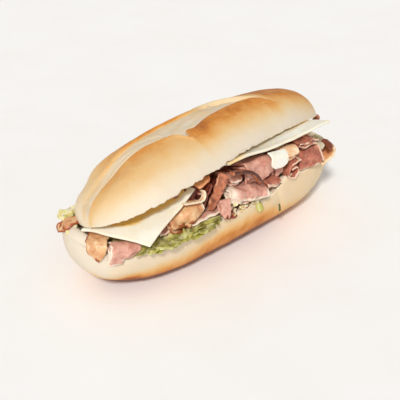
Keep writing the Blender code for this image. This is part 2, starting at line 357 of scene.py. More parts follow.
class Tree:
    """Adds nodes to one node tree; an input takes a value or another node's output."""

    def __init__(self, tree: bpy.types.NodeTree) -> None:
        """Starts work on a tree."""
        self.tree = tree

    def feed(self, socket: Socket, value: Feed) -> None:
        """Joins an output to an input, or sets the input's own value.

        Args:
            socket: the input.
            value: another node's output, a number or a colour.
        """
        if isinstance(value, Socket):
            self.tree.links.new(value, socket)
        elif socket.type == "RGBA":
            socket.default_value = (*value, 1.0)
        else:
            socket.default_value = value

    def add(self, kind: str, feeds: Feeds | None = None, **settings: object) -> bpy.types.Node:
        """Adds one node.

        Args:
            kind: its type, without the leading "ShaderNode".
            feeds: its inputs, by name or number.
            settings: its other properties.

        Returns:
            The node.
        """
        node = self.tree.nodes.new(f"ShaderNode{kind}")
        for label, value in settings.items():
            setattr(node, label, value)
        for label, value in (feeds or {}).items():
            self.feed(node.inputs[label], value)
        return node

    def mask(self, mask: Mask) -> Socket:
        """A mask that the mesh carries."""
        return self.add("Attribute", attribute_name=mask.value).outputs["Fac"]

    def math(self, operation: str, *values: Feed) -> Socket:
        """A sum, product or the like, kept from 0 to 1."""
        return self.add("Math", dict(enumerate(values)), operation=operation, use_clamp=True).outputs[0]

    def plain(self, operation: str, *values: Feed) -> Socket:
        """A sum, product or the like, free to leave 0 to 1."""
        return self.add("Math", dict(enumerate(values)), operation=operation).outputs[0]

    def spread(self, value: Feed, low: Feed, high: Feed) -> Socket:
        """A value moved softly from `low` and `high` to 0 and 1."""
        feeds = {"Value": value, "From Min": low, "From Max": high}
        return self.add("MapRange", feeds, interpolation_type="SMOOTHSTEP").outputs["Result"]

    def mix(self, factor: Feed, first: Feed, second: Feed) -> Socket:
        """Two colours mixed."""
        return self.add("Mix", {0: factor, 6: first, 7: second}, data_type="RGBA").outputs[2]

    def ramp(self, value: Feed, stops: Stops) -> Socket:
        """A colour ramp.

        Args:
            value: where to read it, from 0 to 1.
            stops: (position, colour) pairs in rising order.

        Returns:
            The colour.
        """
        node = self.add("ValToRGB", {0: value})
        elements = node.color_ramp.elements
        while len(elements) < len(stops):
            elements.new(1.0)
        for element, (position, colour) in zip(elements, stops):
            element.position = position
            element.color = (*colour, 1.0)
        return node.outputs["Color"]

    def effect(self, group: bpy.types.NodeTree, **values: Feed) -> Socket:
        """Places a shared effect.

        Args:
            group: the effect's node group.
            values: this material's values for its inputs, by name.

        Returns:
            The effect's one output.
        """
        node = self.tree.nodes.new("ShaderNodeGroup")
        node.node_tree = group
        for label, value in values.items():
            self.feed(node.inputs[label], value)
        return node.outputs[0]

    def bump(self, height: Socket, strength: float, depth: float) -> Socket:
        """A normal bent by a height from 0 to 1, whose range is `depth` mm, at a share `strength`."""
        feeds = {"Height": height, "Strength": strength, "Distance": depth * MM}
        return self.add("Bump", feeds).outputs["Normal"]


class Effects:
    """The node groups that several finishes share, each made once."""

    finer = 4.5

    def __init__(self) -> None:
        """Makes the groups."""
        self.blotches = self.make_blotches()
        self.specks = self.make_specks()
        self.grain = self.make_grain()

    def start(self, name: str, output: str, **inputs: float) -> tuple[Tree, dict[str, Socket], Socket]:
        """Starts a node group.

        Args:
            name: the group's name.
            output: the name of its one output.
            inputs: each input's name and first value.

        Returns:
            The tree, its inputs by name, and the output to feed.
        """
        tree = Tree(bpy.data.node_groups.new(name, "ShaderNodeTree"))
        sides = tree.tree.interface
        for label, value in inputs.items():
            given = sides.new_socket(name=label, in_out="INPUT", socket_type="NodeSocketFloat")
            given.default_value = value
        sides.new_socket(name=output, in_out="OUTPUT", socket_type="NodeSocketFloat")
        source = tree.tree.nodes.new("NodeGroupInput")
        sink = tree.tree.nodes.new("NodeGroupOutput")
        return tree, {label: source.outputs[label] for label in inputs}, sink.inputs[output]

    def scaled(self, tree: Tree, size: Socket) -> dict[str, Socket]:
        """Object coordinates and a texture scale for features of `size` mm."""
        place = tree.add("TexCoord").outputs["Object"]
        return {"Vector": place, "Scale": tree.plain("DIVIDE", 1 / MM, size)}

    def make_blotches(self) -> bpy.types.NodeTree:
        """Soft uneven patches: 0 below Low and 1 above High of a noise whose lumps are Size mm.

        Returns:
            The group, with the output Mask.
        """
        tree, given, sink = self.start("blotches", "Mask", Size=5.0, Low=0.4, High=0.6, Rough=0.55)
        placed = self.scaled(tree, given["Size"])
        placed |= {"Detail": 4.0, "Roughness": given["Rough"]}
        noise = tree.add("TexNoise", placed).outputs["Fac"]
        tree.feed(sink, tree.spread(noise, given["Low"], given["High"]))
        return tree.tree

    def make_specks(self) -> bpy.types.NodeTree:
        """Round specks of Radius mm, about Spacing mm apart, in the given Share of places.

        Returns:
            The group, with the output Mask.
        """
        tree, given, sink = self.start("specks", "Mask", Spacing=3.0, Radius=0.4, Share=0.5)
        cells = tree.add("TexVoronoi", self.scaled(tree, given["Spacing"]))
        gap = tree.plain("MULTIPLY", cells.outputs["Distance"], given["Spacing"])
        dot = tree.spread(gap, given["Radius"], tree.plain("MULTIPLY", given["Radius"], 0.5))
        pick = tree.add("SeparateColor", {0: cells.outputs["Color"]}).outputs[0]
        tree.feed(sink, tree.math("MULTIPLY", dot, tree.math("LESS_THAN", pick, given["Share"])))
        return tree.tree

    def make_grain(self) -> bpy.types.NodeTree:
        """Fine grain over lumps of Size mm, with the fine part's share in Balance.

        Returns:
            The group, with the output Height.
        """
        tree, given, sink = self.start("grain", "Height", Size=2.0, Balance=0.4)
        placed = self.scaled(tree, given["Size"])
        lumps = tree.add("TexNoise", {**placed, "Detail": 2.0}).outputs["Fac"]
        placed["Scale"] = tree.plain("MULTIPLY", placed["Scale"], self.finer)
        fine = tree.add("TexNoise", {**placed, "Detail": 3.0}).outputs["Fac"]
        feeds = {"Factor": given["Balance"], "A": lumps, "B": fine}
        tree.feed(sink, tree.add("Mix", feeds).outputs["Result"])
        return tree.tree


# ---------------------------------------------------------------------------------------------
# Finishes
# ---------------------------------------------------------------------------------------------


@dataclass(frozen=True)
class Grain:
    """The fine relief of a finish: its size in mm, its share of finer grain, and its bump."""

    size: float
    balance: float
    strength: float
    depth: float


class Dressing(Tree):
    """A material in the making around its Principled shader."""

    def __init__(self, name: str, effects: Effects, **constants: float | Point) -> None:
        """Starts a material.

        Args:
            name: the material's name.
            effects: the shared node groups.
            constants: values that are the same all over, by the shader's input names with _ for spaces.
        """
        self.material = bpy.data.materials.new(name)
        self.material.use_nodes = True
        self.effects = effects
        super().__init__(self.material.node_tree)
        self.shader = self.tree.nodes["Principled BSDF"]
        for label, value in constants.items():
            self.shader.inputs[label.replace("_", " ")].default_value = value

    def blotches(self, size: float, low: float, high: float, rough: float = 0.55) -> Socket:
        """Places the shared patches: their size in mm, the noise's range, and how rough they are."""
        return self.effect(self.effects.blotches, Size=size, Low=low, High=high, Rough=rough)

    def finish(
        self, colour: Socket, roughness: Socket, grain: Grain | None = None
    ) -> bpy.types.Material:
        """Joins everything to the shader.

        Args:
            colour: for Base Color.
            roughness: for Roughness.
            grain: the fine relief, if there is any.

        Returns:
            The finished material.
        """
        self.feed(self.shader.inputs["Base Color"], colour)
        self.feed(self.shader.inputs["Roughness"], roughness)
        if grain:
            height = self.effect(self.effects.grain, Size=grain.size, Balance=grain.balance)
            self.feed(self.shader.inputs["Normal"], self.bump(height, grain.strength, grain.depth))
        return self.material


@dataclass(frozen=True)
class CrustFinish:
    """Bread: pale crumb that bakes through straw and gold to amber, with airy crumb where cut."""

    name: str = "soft_crust"
    bake: Stops = (
        (0.0, paint(231, 217, 196)), (0.16, paint(232, 211, 178)), (0.32, paint(233, 200, 150)),
        (0.48, paint(233, 187, 123)), (0.64, paint(228, 167, 92)), (0.80, paint(214, 137, 54)),
        (1.0, paint(158, 84, 34)),
    )
    crumb: Colour = paint(242, 230, 208)
    crumb_shade: Colour = paint(226, 204, 168)
    broad: float = 9.0
    fine: float = 1.6
    mottle: float = 0.08
    gloss: float = 0.55
    dryness: float = 0.4
    relief: Grain = Grain(1.8, 0.5, 0.35, 0.25)

    def material(self, effects: Effects) -> bpy.types.Material:
        """The shader: baking and mottling in colour, a soft sheen on crust, and dry open crumb.

        Args:
            effects: the shared node groups.

        Returns:
            The material.
        """
        look = Dressing(
            self.name, effects, Subsurface_Weight=0.12, Subsurface_Radius=(1.0, 0.55, 0.3),
            Subsurface_Scale=0.002, Specular_IOR_Level=0.35,
        )
        broad = look.blotches(self.broad, 0.3, 0.7)
        fine = look.blotches(self.fine, 0.3, 0.7, 0.7)
        bake = look.mask(Mask.BAKE)
        for patches, share in ((broad, self.mottle), (fine, 0.5 * self.mottle)):
            feeds = {"Value": patches, "To Min": -share, "To Max": share}
            swing = look.add("MapRange", feeds).outputs["Result"]
            bake = look.math("ADD", bake, look.plain("MULTIPLY", swing, bake))
        crumb = look.mix(fine, self.crumb, self.crumb_shade)
        colour = look.mix(look.mask(Mask.CRUMB), look.ramp(bake, self.bake), crumb)
        dry = look.math("MULTIPLY_ADD", look.mask(Mask.CRUMB), self.dryness, self.gloss)
        return look.finish(colour, look.math("MULTIPLY_ADD", broad, 0.08, dry), self.relief)


@dataclass(frozen=True)
class MeatFinish:
    """A slice of cold meat: mottled lean, white fat, browned edges and coarse pepper."""

    name: str
    slot: Slot
    lean: Colour
    deep: Colour
    fat: Colour
    browned: Colour
    mottle: float = 5.0
    marbling: float = 0.2
    pepper: float = 0.0
    pepper_gap: float = 2.6
    pepper_size: float = 0.42
    pepper_share: float = 0.85
    peppercorn: Colour = paint(74, 42, 24)
    gloss: float = 0.36
    fibre: float = 0.22
    relief: Grain = Grain(1.4, 0.4, 0.22, 0.2)

    def material(self, effects: Effects) -> bpy.types.Material:
        """The shader: a moist surface whose colours follow the slice's masks.

        Args:
            effects: the shared node groups.

        Returns:
            The material.
        """
        look = Dressing(
            self.name, effects, Subsurface_Weight=0.2, Subsurface_Radius=(1.0, 0.4, 0.25),
            Subsurface_Scale=0.0018, Coat_Roughness=0.22, Coat_Weight=0.12, Specular_IOR_Level=0.45,
        )
        patches = look.blotches(self.mottle, 0.38, 0.66, 0.6)
        fibres = look.blotches(self.relief.size, 0.35, 0.7, 0.7)
        veins = look.blotches(0.7 * self.mottle, 0.58, 0.70, 0.75)
        colour = look.mix(patches, self.lean, self.deep)
        colour = look.mix(look.math("MULTIPLY", fibres, self.fibre), colour, self.fat)
        white = look.math("MAXIMUM", look.mask(Mask.FAT), look.math("MULTIPLY", veins, self.marbling))
        colour = look.mix(white, colour, self.fat)
        colour = look.mix(look.mask(Mask.BROWNED_OR_SHADOW), colour, self.browned)
        dots = {"Spacing": self.pepper_gap, "Radius": self.pepper_size, "Share": self.pepper}
        specks = look.math("MULTIPLY", look.effect(effects.specks, **dots), self.pepper_share)
        colour = look.mix(specks, colour, self.peppercorn)
        return look.finish(colour, look.math("MULTIPLY_ADD", fibres, 0.18, self.gloss), self.relief)


@dataclass(frozen=True)
class CheeseFinish:
    """Mild white cheese: smooth and waxy, with painted shadow where it goes in under the bread, and a
    faint tint along its cut edges.
    """

    name: str = "white_cheese"
    slot: Slot = Slot.CHEESE
    body: Colour = paint(249, 244, 230)
    shade: Colour = paint(245, 237, 216)
    # Painted shadow colour under the crown's edge, also a faint tint along the cut edges.
    edge: Colour = paint(242, 200, 112)
    clouds: float = 8.0
    fine: float = 1.2
    gloss: float = 0.38
    relief: Grain = Grain(2.6, 0.25, 0.15, 0.15)

    def material(self, effects: Effects) -> bpy.types.Material:
        """The shader: faint cloudiness, painted shadow and an edge tint where the mask says, and a soft
        waxy sheen.

        Args:
            effects: the shared node groups.

        Returns:
            The material.
        """
        look = Dressing(
            self.name, effects, Subsurface_Weight=0.3, Subsurface_Radius=(1.0, 0.8, 0.5),
            Subsurface_Scale=0.0025, Coat_Roughness=0.3, Coat_Weight=0.1, Specular_IOR_Level=0.45,
        )
        colour = look.mix(look.blotches(self.clouds, 0.35, 0.7), self.body, self.shade)
        # Painted shadow under the crown, and the faint edge tint.
        colour = look.mix(look.mask(Mask.BROWNED_OR_SHADOW), colour, self.edge)
        fine = look.blotches(self.fine, 0.3, 0.7)
        return look.finish(colour, look.math("MULTIPLY_ADD", fine, 0.12, self.gloss), self.relief)


@dataclass(frozen=True)
class LeafFinish:
    """Shredded lettuce: olive and lime blade with pale watery ribs."""

    name: str = "lettuce_leaf"
    slot: Slot = Slot.LETTUCE
    blade: Colour = paint(186, 176, 82)
    dark: Colour = paint(122, 110, 34)
    rib: Colour = paint(238, 234, 176)
    patches: float = 6.0
    veins: float = 1.5
    veining: float = 0.4
    gloss: float = 0.34
    relief: Grain = Grain(1.6, 0.3, 0.3, 0.25)

    def material(self, effects: Effects) -> bpy.types.Material:
        """The shader: patches of darker blade, pale ribs and a wet sheen.

        Args:
            effects: the shared node groups.

        Returns:
            The material.
        """
        look = Dressing(
            self.name, effects, Subsurface_Weight=0.25, Subsurface_Radius=(0.6, 1.0, 0.25),
            Subsurface_Scale=0.0015, Coat_Roughness=0.2, Coat_Weight=0.2, Specular_IOR_Level=0.5,
        )
        veins = look.blotches(self.veins, 0.5, 0.7, 0.7)
        colour = look.mix(look.blotches(self.patches, 0.4, 0.65), self.blade, self.dark)
        pale = look.math("MAXIMUM", look.mask(Mask.RIB), look.math("MULTIPLY", veins, self.veining))
        colour = look.mix(pale, colour, self.rib)
        return look.finish(colour, look.math("MULTIPLY_ADD", veins, 0.2, self.gloss), self.relief)


@dataclass(frozen=True)
class FloorFinish:
    """A plain pale floor with a barely uneven tone."""

    name: str = "pale_floor"
    tone: Colour = paint(252, 250, 247)
    other: Colour = paint(250, 247, 243)
    patches: float = 60.0

    def material(self, effects: Effects) -> bpy.types.Material:
        """The shader: two near-white tones and a matt surface.

        Args:
            effects: the shared node groups.

        Returns:
            The material.
        """
        look = Dressing(self.name, effects, Specular_IOR_Level=0.2)
        patches = look.blotches(self.patches, 0.3, 0.7)
        colour = look.mix(patches, self.tone, self.other)
        return look.finish(colour, look.math("MULTIPLY_ADD", patches, 0.05, 0.8))


# ---------------------------------------------------------------------------------------------
# The roll
# ---------------------------------------------------------------------------------------------


@dataclass
class HalfRoll:
    """One half of the roll: rounded skin outside and a torn, airy cut face inside."""

    length: float
    width: float
    depth: float
    taper: float
    swell: float
    fullness: float
    stations: int = 320
    across: int = 56
    plan: Pair = (2.7, 2.2)
    profile: Pair = (3.4, 2.4)
    skin_depths: Point = (0.4, 0.2, 0.035)
    pore_depths: Pair = (1.1, 0.4)
    ragged_depth: float = 0.35
    notch_depth: float = 1.0
    oven: float = 0.8
    coarse: Noise = Noise(34.0, 3, octaves=2)
    lumps: Noise = Noise(11.0, 7, octaves=3)
    skin_grain: Noise = Noise(2.6, 11, octaves=2)
    pores: Noise = Noise(3.4, 23, octaves=2)
    fine_pores: Noise = Noise(1.5, 29, octaves=1)
    ragged: Noise = Noise(5.0, 31, octaves=3, gain=0.7)
    tears: Noise = Noise(9.0, 37, octaves=1)

    def half_width(self, s: Array) -> Array:
        """Half the width at station s."""
        return self.width / 2 * blunt(s, *self.plan) * (1 + self.taper * s)

    def section(self, s: Array, turn: Array) -> tuple[Array, Array]:
        """The rounded section.

        Args:
            s: station, -1 to 1 along the roll.
            turn: -1 at the front edge of the cut to 1 at its back edge.

        Returns:
            The share of the half width across, and the height out from the cut.
        """
        angle = turn * math.pi / 2
        power = 2.0 / self.fullness
        share = np.sign(angle) * np.abs(np.sin(angle)) ** power
        deep = self.depth * blunt(s, *self.profile) * (1 + self.swell * s)
        return share, deep * np.maximum(0.0, np.cos(angle)) ** power

    def along(self) -> Array:
        """The stations, closer together towards the tips."""
        return -np.cos(math.pi * np.arange(1, self.stations) / self.stations)[:, None]

    def calm(self, s: Array) -> Array:
        """1 along the roll, falling to 0 at its very tips, where relief would crumple the mesh."""
        return blunt(s, 40.0, 1.0)

    def span(self) -> Array:
        """Shares of the half width for the columns of the cut face, from the back to the front."""
        return 1 - 2 * np.arange(1, self.across)[None, :] / self.across

    def crumb_relief(self, points: Array) -> Array:
        """The pores of the cut face.

        Args:
            points: places on the face.

        Returns:
            How deep the pores are there, in mm.
        """
        large = step(0.15, 0.6, self.pores.at(points))
        small = step(0.1, 0.7, self.fine_pores.at(points))
        return self.pore_depths[0] * large + self.pore_depths[1] * small

    def skin_relief(self, points: Array) -> Array:
        """Gentle unevenness of the crust at each point, in mm."""
        layers = zip(self.skin_depths, (self.coarse, self.lumps, self.skin_grain))
        return sum(depth * noise.at(points) for depth, noise in layers)

    def tear(self, points: Array) -> Array:
        """How far the torn rim is set back at each point, in mm."""
        notch = step(0.45, 0.8, self.tears.at(points))
        return self.ragged_depth * self.ragged.at(points) + self.notch_depth * notch


def blend(where: Array, stations: Array, values: Array) -> Array:
    """Vectors given at stations, read at the places `where` between them."""
    return np.stack([np.interp(where, stations, values[:, axis]) for axis in range(3)], -1)


def arc_length(grid: Array) -> Array:
    """Distance along each row of a grid of points, from its first column."""
    gaps = np.linalg.norm(np.diff(grid, axis=1), axis=-1)
    return np.concatenate((np.zeros((len(grid), 1)), np.cumsum(gaps, axis=1)), axis=1)


def from_rim(run: Array) -> Array:
    """Distance from the nearer end of each row, from its distances along the row."""
    return np.minimum(run, run[:, -1:] - run)


def groove(points: Array, start: Point, end: Point, width: float) -> Array:
    """How near each point is to a straight crease.

    Args:
        points: places on the skin.
        start: one end of the crease.
        end: the other end.
        width: half width of the crease.

    Returns:
        1 on the crease, falling to 0 away from it.
    """
    a, b = np.array(start), np.array(end)
    t = np.clip(((points - a) @ (b - a)) / ((b - a) @ (b - a)), 0.0, 1.0)
    gap = np.linalg.norm(points - a - t[..., None] * (b - a), axis=-1)
    return bell(gap, width) * (1 - 0.6 * np.abs(2 * t - 1) ** 2)


@dataclass
class Heel(HalfRoll):
    """The lower half, pale above and golden round its foot, standing on a flat spot."""

    length: float = 214.0
    width: float = 80.0
    depth: float = 38.2
    taper: float = -0.06
    swell: float = 0.0
    fullness: float = 2.7
    rim_height: float = 37.0
    rise: float = 5.5
    stretch: float = 3.0
    trim: float = 4.0
    centre: float = -2.0
    sweep: float = -6.4
    around: int = 180
    waves: Curve = (
        (-1.0, -3.2), (-0.9, -3.0), (-0.82, -2.4), (-0.5, -2.4), (0.0, -2.6), (0.2, -1.8),
        (0.262, -1.2), (0.292, 2.4), (0.5, 2.8), (0.7, 0.8), (0.85, 0.0),
    )
    strengths: Curve = (
        (-1.0, 0.8), (-0.9, 0.8), (-0.8, 0.8), (-0.6, 0.95), (-0.2, 1.0), (0.2, 0.95),
        (0.33, 0.75), (0.5, 0.5), (0.7, 0.3), (1.0, 0.3),
    )
    tops: Curve = (
        (-1.0, 13.0), (-0.8, 12.5), (-0.6, 17.0), (-0.4, 19.0), (-0.2, 22.0), (0.2, 23.0),
        (0.4, 15.0), (1.0, 10.0),
    )
    fold_at: float = 27.3
    fold_lean: float = 6.8
    fold_depth: float = 0.6
    bulge: float = 0.8
    hollow_at: Pair = (-86.0, 14.0)
    hollow_depth: float = 1.6
    creases: tuple[tuple[Point, Point, float, float], ...] = (
        ((-96.0, -30.0, 20.0), (-60.0, -42.0, 17.0), 0.9, 1.0),
        ((-97.0, -29.0, 26.0), (-92.0, -33.0, 6.0), 0.8, 1.2),
    )
    mound: float = 3.5
    pale: float = 0.16
    foot_bake: float = 0.7
    # Added to the bake: deeper baking and painted shade low down, painted contact shadow along the very
    # bottom, and painted shade in the left hollow.
    underside_bake_and_shade: float = 0.35
    contact_shadow: float = 0.4
    hollow_shade: float = 0.65
    crumbled: Pair = (0.06, 0.17)
    streaks: Noise = Noise(7.0, 41, octaves=3, stretch=(0.35, 1.0, 3.0))
    blotches: Noise = Noise(16.0, 43, octaves=3)

    def rim(self, s: Array) -> Array:
        """Height of the cut face, which climbs at the left end."""
        return self.rim_height + self.rise * step(-0.80, -0.97, s)

    def cut(self, s: Array, share: Array) -> Array:
        """Points on the cut face, before any relief.

        Args:
            s: stations.
            share: shares of the half width, -1 at the front rim to 1 at the back.

        Returns:
            The points, three numbers each.
        """
        x = s * self.length / 2 + self.centre - self.trim * step(0.5, 1.0, s) + 0 * share
        y = share * self.half_width(s) + self.sweep * s * s
        return np.stack((x, y, self.rim(s) + 0 * x), -1)

    def past_fold(self, points: Array) -> Array:
        """How far right of the fold in the front side each point is, in mm."""
        return points[..., 0] - self.fold_at - self.fold_lean * step(36.0, 16.0, points[..., 2])

    def dents(self, points: Array) -> Array:
        """The front side's fold and its bulge, and the hollow and creases of the left end.

        Args:
            points: places on the skin.

        Returns:
            Height over the plain skin, in mm.
        """
        x, y, z = np.moveaxis(points, -1, 0)
        beyond = self.past_fold(points)
        relief = -self.fold_depth * bell(beyond + 0.4, 0.8) * step(16.0, 26.0, z)
        bulging = step(-0.5, 3.5, beyond) * (1 - step(20.0, 44.0, beyond)) * step(5.0, 18.0, z)
        relief += self.bulge * bulging
        across, up = self.hollow_at
        relief -= self.hollow_depth * bell(x - across, 12.0) * bell(z - up, 6.0)
        for start, end, depth, width in self.creases:
            relief -= depth * groove(points, start, end, width)
        return relief * step(0.0, -12.0, y)

    def browning(self, s: Array, points: Array) -> Array:
        """The crust's baking: a golden foot that fades upwards and towards the ends, darker low down
        from deeper baking and painted shade, with painted contact shadow at the very bottom and painted
        shade in the left hollow.

        Args:
            s: stations.
            points: places on the skin.

        Returns:
            0 for pale to 1 for dark gold.
        """
        z = points[..., 2]
        top = through(self.tops, s) + 1.0 * self.streaks.at(points) + 1.2 * self.blotches.at(points)
        end = step(-0.75, -0.88, s)
        foot = 1 - step(-6.0, 8.0, z - top)
        down = (self.rim(s) - z) / (self.rim(s) - z.min(axis=1, keepdims=True))
        foot = foot * (1 - end) + 0.7 * step(0.76, 0.94, down) * end * (1 - step(-0.90, -0.975, s))
        bake = self.pale + 0.05 * self.blotches.at(points)
        bake = bake + self.foot_bake * through(self.strengths, s) * foot
        # Below 15 mm: deeper baking and painted shade where the side curves under. Below 4.5 mm: painted
        # contact shadow.
        low = 0.12 * step(-0.6, -0.1, s) + self.underside_bake_and_shade * (1 - step(5.0, 15.0, z))
        bake += low + self.contact_shadow * (1 - step(1.5, 4.5, z))
        front = step(0.0, -12.0, points[..., 1])
        # Painted shade in the hollow at the left end of the front side.
        bake += self.hollow_shade * front * bell(points[..., 0] + 86.0, 10.0) * bell(z - 9.0, 7.0)
        return self.oven * (bake - 0.14 * step(-0.84, -0.93, s))

    def shell(self) -> Shell:
        """The whole half as a closed mesh.

        Returns:
            The shell, with its baking and open crumb.
        """
        s = self.along()
        turn = np.linspace(-1.0, 1.0, self.around + 1)[None, :]
        share, out = self.section(s, turn)
        skin = self.cut(s, share)
        skin[..., 2] = self.rim(s) * (1 - out / self.rim_height)
        low = 1 - np.maximum(skin[..., 2], 0.0) / self.rim(s)
        skin[..., 0] -= self.stretch * step(-0.6, -1.0, s) * low
        outward = -normals(skin)
        calm = self.calm(s)
        rim = from_rim(arc_length(skin))
        relief = (self.skin_relief(skin) + self.dents(skin)) * (1 - bell(rim, 1.2)) * calm
        bake = self.browning(s, skin)
        skin = skin + outward * relief[..., None]
        crumbled = bell(s - self.crumbled[0], self.crumbled[1]) * step(0.0, -0.5, turn)
        wave = through(self.waves, s) * calm
        torn = self.tear(skin)
        skin[..., 2] += wave * bell(rim, 8.0) * step(0.1, -0.3, turn)
        skin[..., 2] -= bell(rim, 1.6 + 2.0 * crumbled) * (0.5 + torn * (1 + 1.5 * crumbled)) * calm
        skin[..., 2] = np.maximum(skin[..., 2], 0.0)

        span = self.span()
        face = self.cut(s, span)
        inside = (1 + span) * self.half_width(s)
        smooth = step(-0.78, -0.88, s)
        outside = 2 * self.half_width(s) - inside
        mound = self.mound * step(-0.86, -0.95, s) * (1 - bell(inside, 5.0)) * (1 - bell(outside, 5.0))
        pores = self.crumb_relief(face) * (1 - smooth) + 0.2
        face[..., 2] += mound * calm + wave * bell(inside, 7.0) - pores * calm
        rings = np.concatenate((skin, face), axis=1)
        ragged = bell(rim, 0.8 + crumbled * (2.0 + 1.6 * self.ragged.at(skin)))
        masks = {
            Mask.BAKE.value: np.concatenate((bake, np.zeros(face.shape[:2])), axis=1),
            Mask.CRUMB.value: np.concatenate((ragged * (1 - smooth), 1 - smooth + 0 * span), axis=1),
        }
        tips = self.cut(np.array([-1.0, 1.0]), np.zeros(2))
        return Shell.ringed(rings, tips, masks)


@dataclass
class Crown(HalfRoll):
    """The upper half, split along its top by one long slash that opened as two lobes."""

    length: float = 209.0
    width: float = 84.3
    depth: float = 26.5
    taper: float = -0.17
    swell: float = 0.12
    fullness: float = 2.2
    droop: float = -9.6
    lift: float = 4.5
    seat: Point = (3.1, 3.3, 55.0)
    tilt: float = 24.0
    yaw: float = 7.0
    pitch: float = 2.0
    shoulder: float = -0.78
    slim: float = 0.17
    drop: float = 5.9
    dip: float = 1.5
    dip_at: float = 0.48
    notch: float = -0.338
    columns: tuple[int, int, int] = (104, 30, 74)
    sink: float = 2.7
    wall: float = 0.6
    wrinkle_depths: Pair = (0.30, 0.35)
    lip_rise: float = 1.0
    lip_stops: Curve = (
        (-1.0, 0.12), (-0.98, 0.073), (-0.92, 0.023), (-0.84, 0.0), (-0.728, -0.01), (-0.65, -0.027),
        (-0.58, -0.063), (-0.516, -0.11), (-0.466, -0.16), (-0.414, -0.21), (-0.364, -0.285),
        (-0.338, -0.42), (-0.322, -0.352), (-0.241, -0.333), (-0.114, -0.30), (0.131, -0.293),
        (0.219, -0.31), (0.293, -0.347), (0.352, -0.417), (0.406, -0.53), (0.8, -0.60),
    )
    far_stops: Curve = (
        (-1.0, 0.36), (-0.90, 0.373), (-0.82, 0.373), (-0.73, 0.337), (-0.64, 0.25), (-0.54, 0.20),
        (-0.406, 0.167), (-0.263, 0.15), (-0.17, 0.12), (-0.087, 0.08), (0.0, 0.04), (0.15, 0.06),
        (0.25, 0.0), (0.33, -0.15), (0.40, -0.35), (0.8, -0.45),
    )
    peaks: Curve = (
        (-1.0, 0.50), (-0.9, 0.72), (-0.8, 0.85), (-0.6, 0.90), (-0.4, 0.82), (-0.345, 0.76),
        (-0.325, 0.90), (-0.1, 0.98), (0.1, 1.05), (0.4, 1.04), (0.65, 1.08), (0.8, 1.05),
        (0.9, 0.86), (1.0, 0.6),
    )
    ridges: Curve = (
        (-0.97, 0.1), (-0.85, 0.28), (-0.75, 0.42), (-0.6, 0.70), (0.0, 0.74), (0.12, 0.40), (0.4, 0.35),
    )
    marks: tuple[Point, ...] = ((-0.40, -0.5, 0.06), (-0.47, -0.3, 0.07), (-0.54, -0.2, 0.05))
    marks_at: float = 0.36
    score_depth: float = 0.35
    crease_depth: float = 1.1
    crease_reach: float = 0.055
    nub_at: Pair = (0.166, 0.03)
    nub_height: float = 1.3
    wrinkles: Noise = Noise(2.4, 53, octaves=3, stretch=(7.0, 1.0, 1.0))
    folds: Noise = Noise(5.5, 59, octaves=2, stretch=(6.0, 1.0, 1.0))
    blotches: Noise = Noise(18.0, 61, octaves=3, gain=0.5)

    def pose(self) -> Array:
        """How the whole half is turned.

        Returns:
            The turning matrix.
        """
        t, p, y = math.radians(-self.tilt), math.radians(self.pitch), math.radians(self.yaw)
        about_x = np.array(((1, 0, 0), (0, math.cos(t), -math.sin(t)), (0, math.sin(t), math.cos(t))))
        about_y = np.array(((math.cos(p), 0, math.sin(p)), (0, 1, 0), (-math.sin(p), 0, math.cos(p))))
        about_z = np.array(((math.cos(y), -math.sin(y), 0), (math.sin(y), math.cos(y), 0), (0, 0, 1)))
        return about_z @ about_y @ about_x

    def to_world(self, points: Array) -> Array:
        """Points of the upright half, moved to where it sits."""
        return points @ self.pose().T + np.array(self.seat)

    def sag(self, s: Array, share: Array) -> Array:
        """The bow of the cut face.

        Args:
            s: stations.
            share: shares of the half width, -1 at the front to 1 at the back.

        Returns:
            Height over the face's own plane.
        """
        inner = 1 - np.abs(s) ** 6
        front = self.droop * s * s * (1 - inner * step(0.5, 1.0, share))
        return front + self.lift * inner * np.maximum(0.0, share) ** 3

    def flat(self, s: Array, share: Array) -> Array:
        """Points on the cut face, before any relief, in the upright half's own axes.

        Args:
            s: stations.
            share: shares of the half width, -1 at the front to 1 at the back.

        Returns:
            The points, three numbers each.
        """
        x = s * self.length / 2 + 0 * share
        slim = 1 - self.slim * bell(s - self.shoulder, 0.15) * step(0.0, 0.7, share)
        y = share * slim * self.half_width(s) - 0.8 * s * s
        return np.stack((x, y, self.sag(s, share)), -1)

    def hollow(self, s: Array, turn: Array) -> Array:
        """How much lower the back is near the left end and in its saddle."""
        shoulder = self.drop * bell(s - self.shoulder, 0.20) * step(-0.3, 0.2, turn)
        return shoulder + self.dip * bell(s - self.dip_at, 0.22) * step(-0.45, -0.15, turn)

    def underside(self, x: Array, y: Array) -> Array:
        """Height of the cut face over points of the plan, carried on past its edge.

        Args:
            x: places along the roll.
            y: places across it.

        Returns:
            The face's height at each place.
        """
        pose = self.pose()
        z = np.full(np.shape(x), self.seat[2])
        for _ in range(12):
            local = (np.stack((x, y, z), -1) - np.array(self.seat)) @ pose
            s = np.clip(local[..., 0] / (self.length / 2), -0.97, 0.97)
            share = np.clip(local[..., 1] / self.half_width(s), -1.0, 1.0)
            z = z + (self.sag(s, share) - local[..., 2]) / pose[2, 2]
        return z

    def ahead(self, points: Array) -> Array:
        """How far places are from the crown's front edge.

        Args:
            points: places, three numbers each.

        Returns:
            The distances, in mm.
        """
        local = (points - np.array(self.seat)) @ self.pose()
        s = np.clip(local[..., 0] / (self.length / 2), -0.97, 0.97)
        return np.hypot(-local[..., 1] - self.half_width(s), local[..., 2] - self.sag(s, -1 + 0 * s))

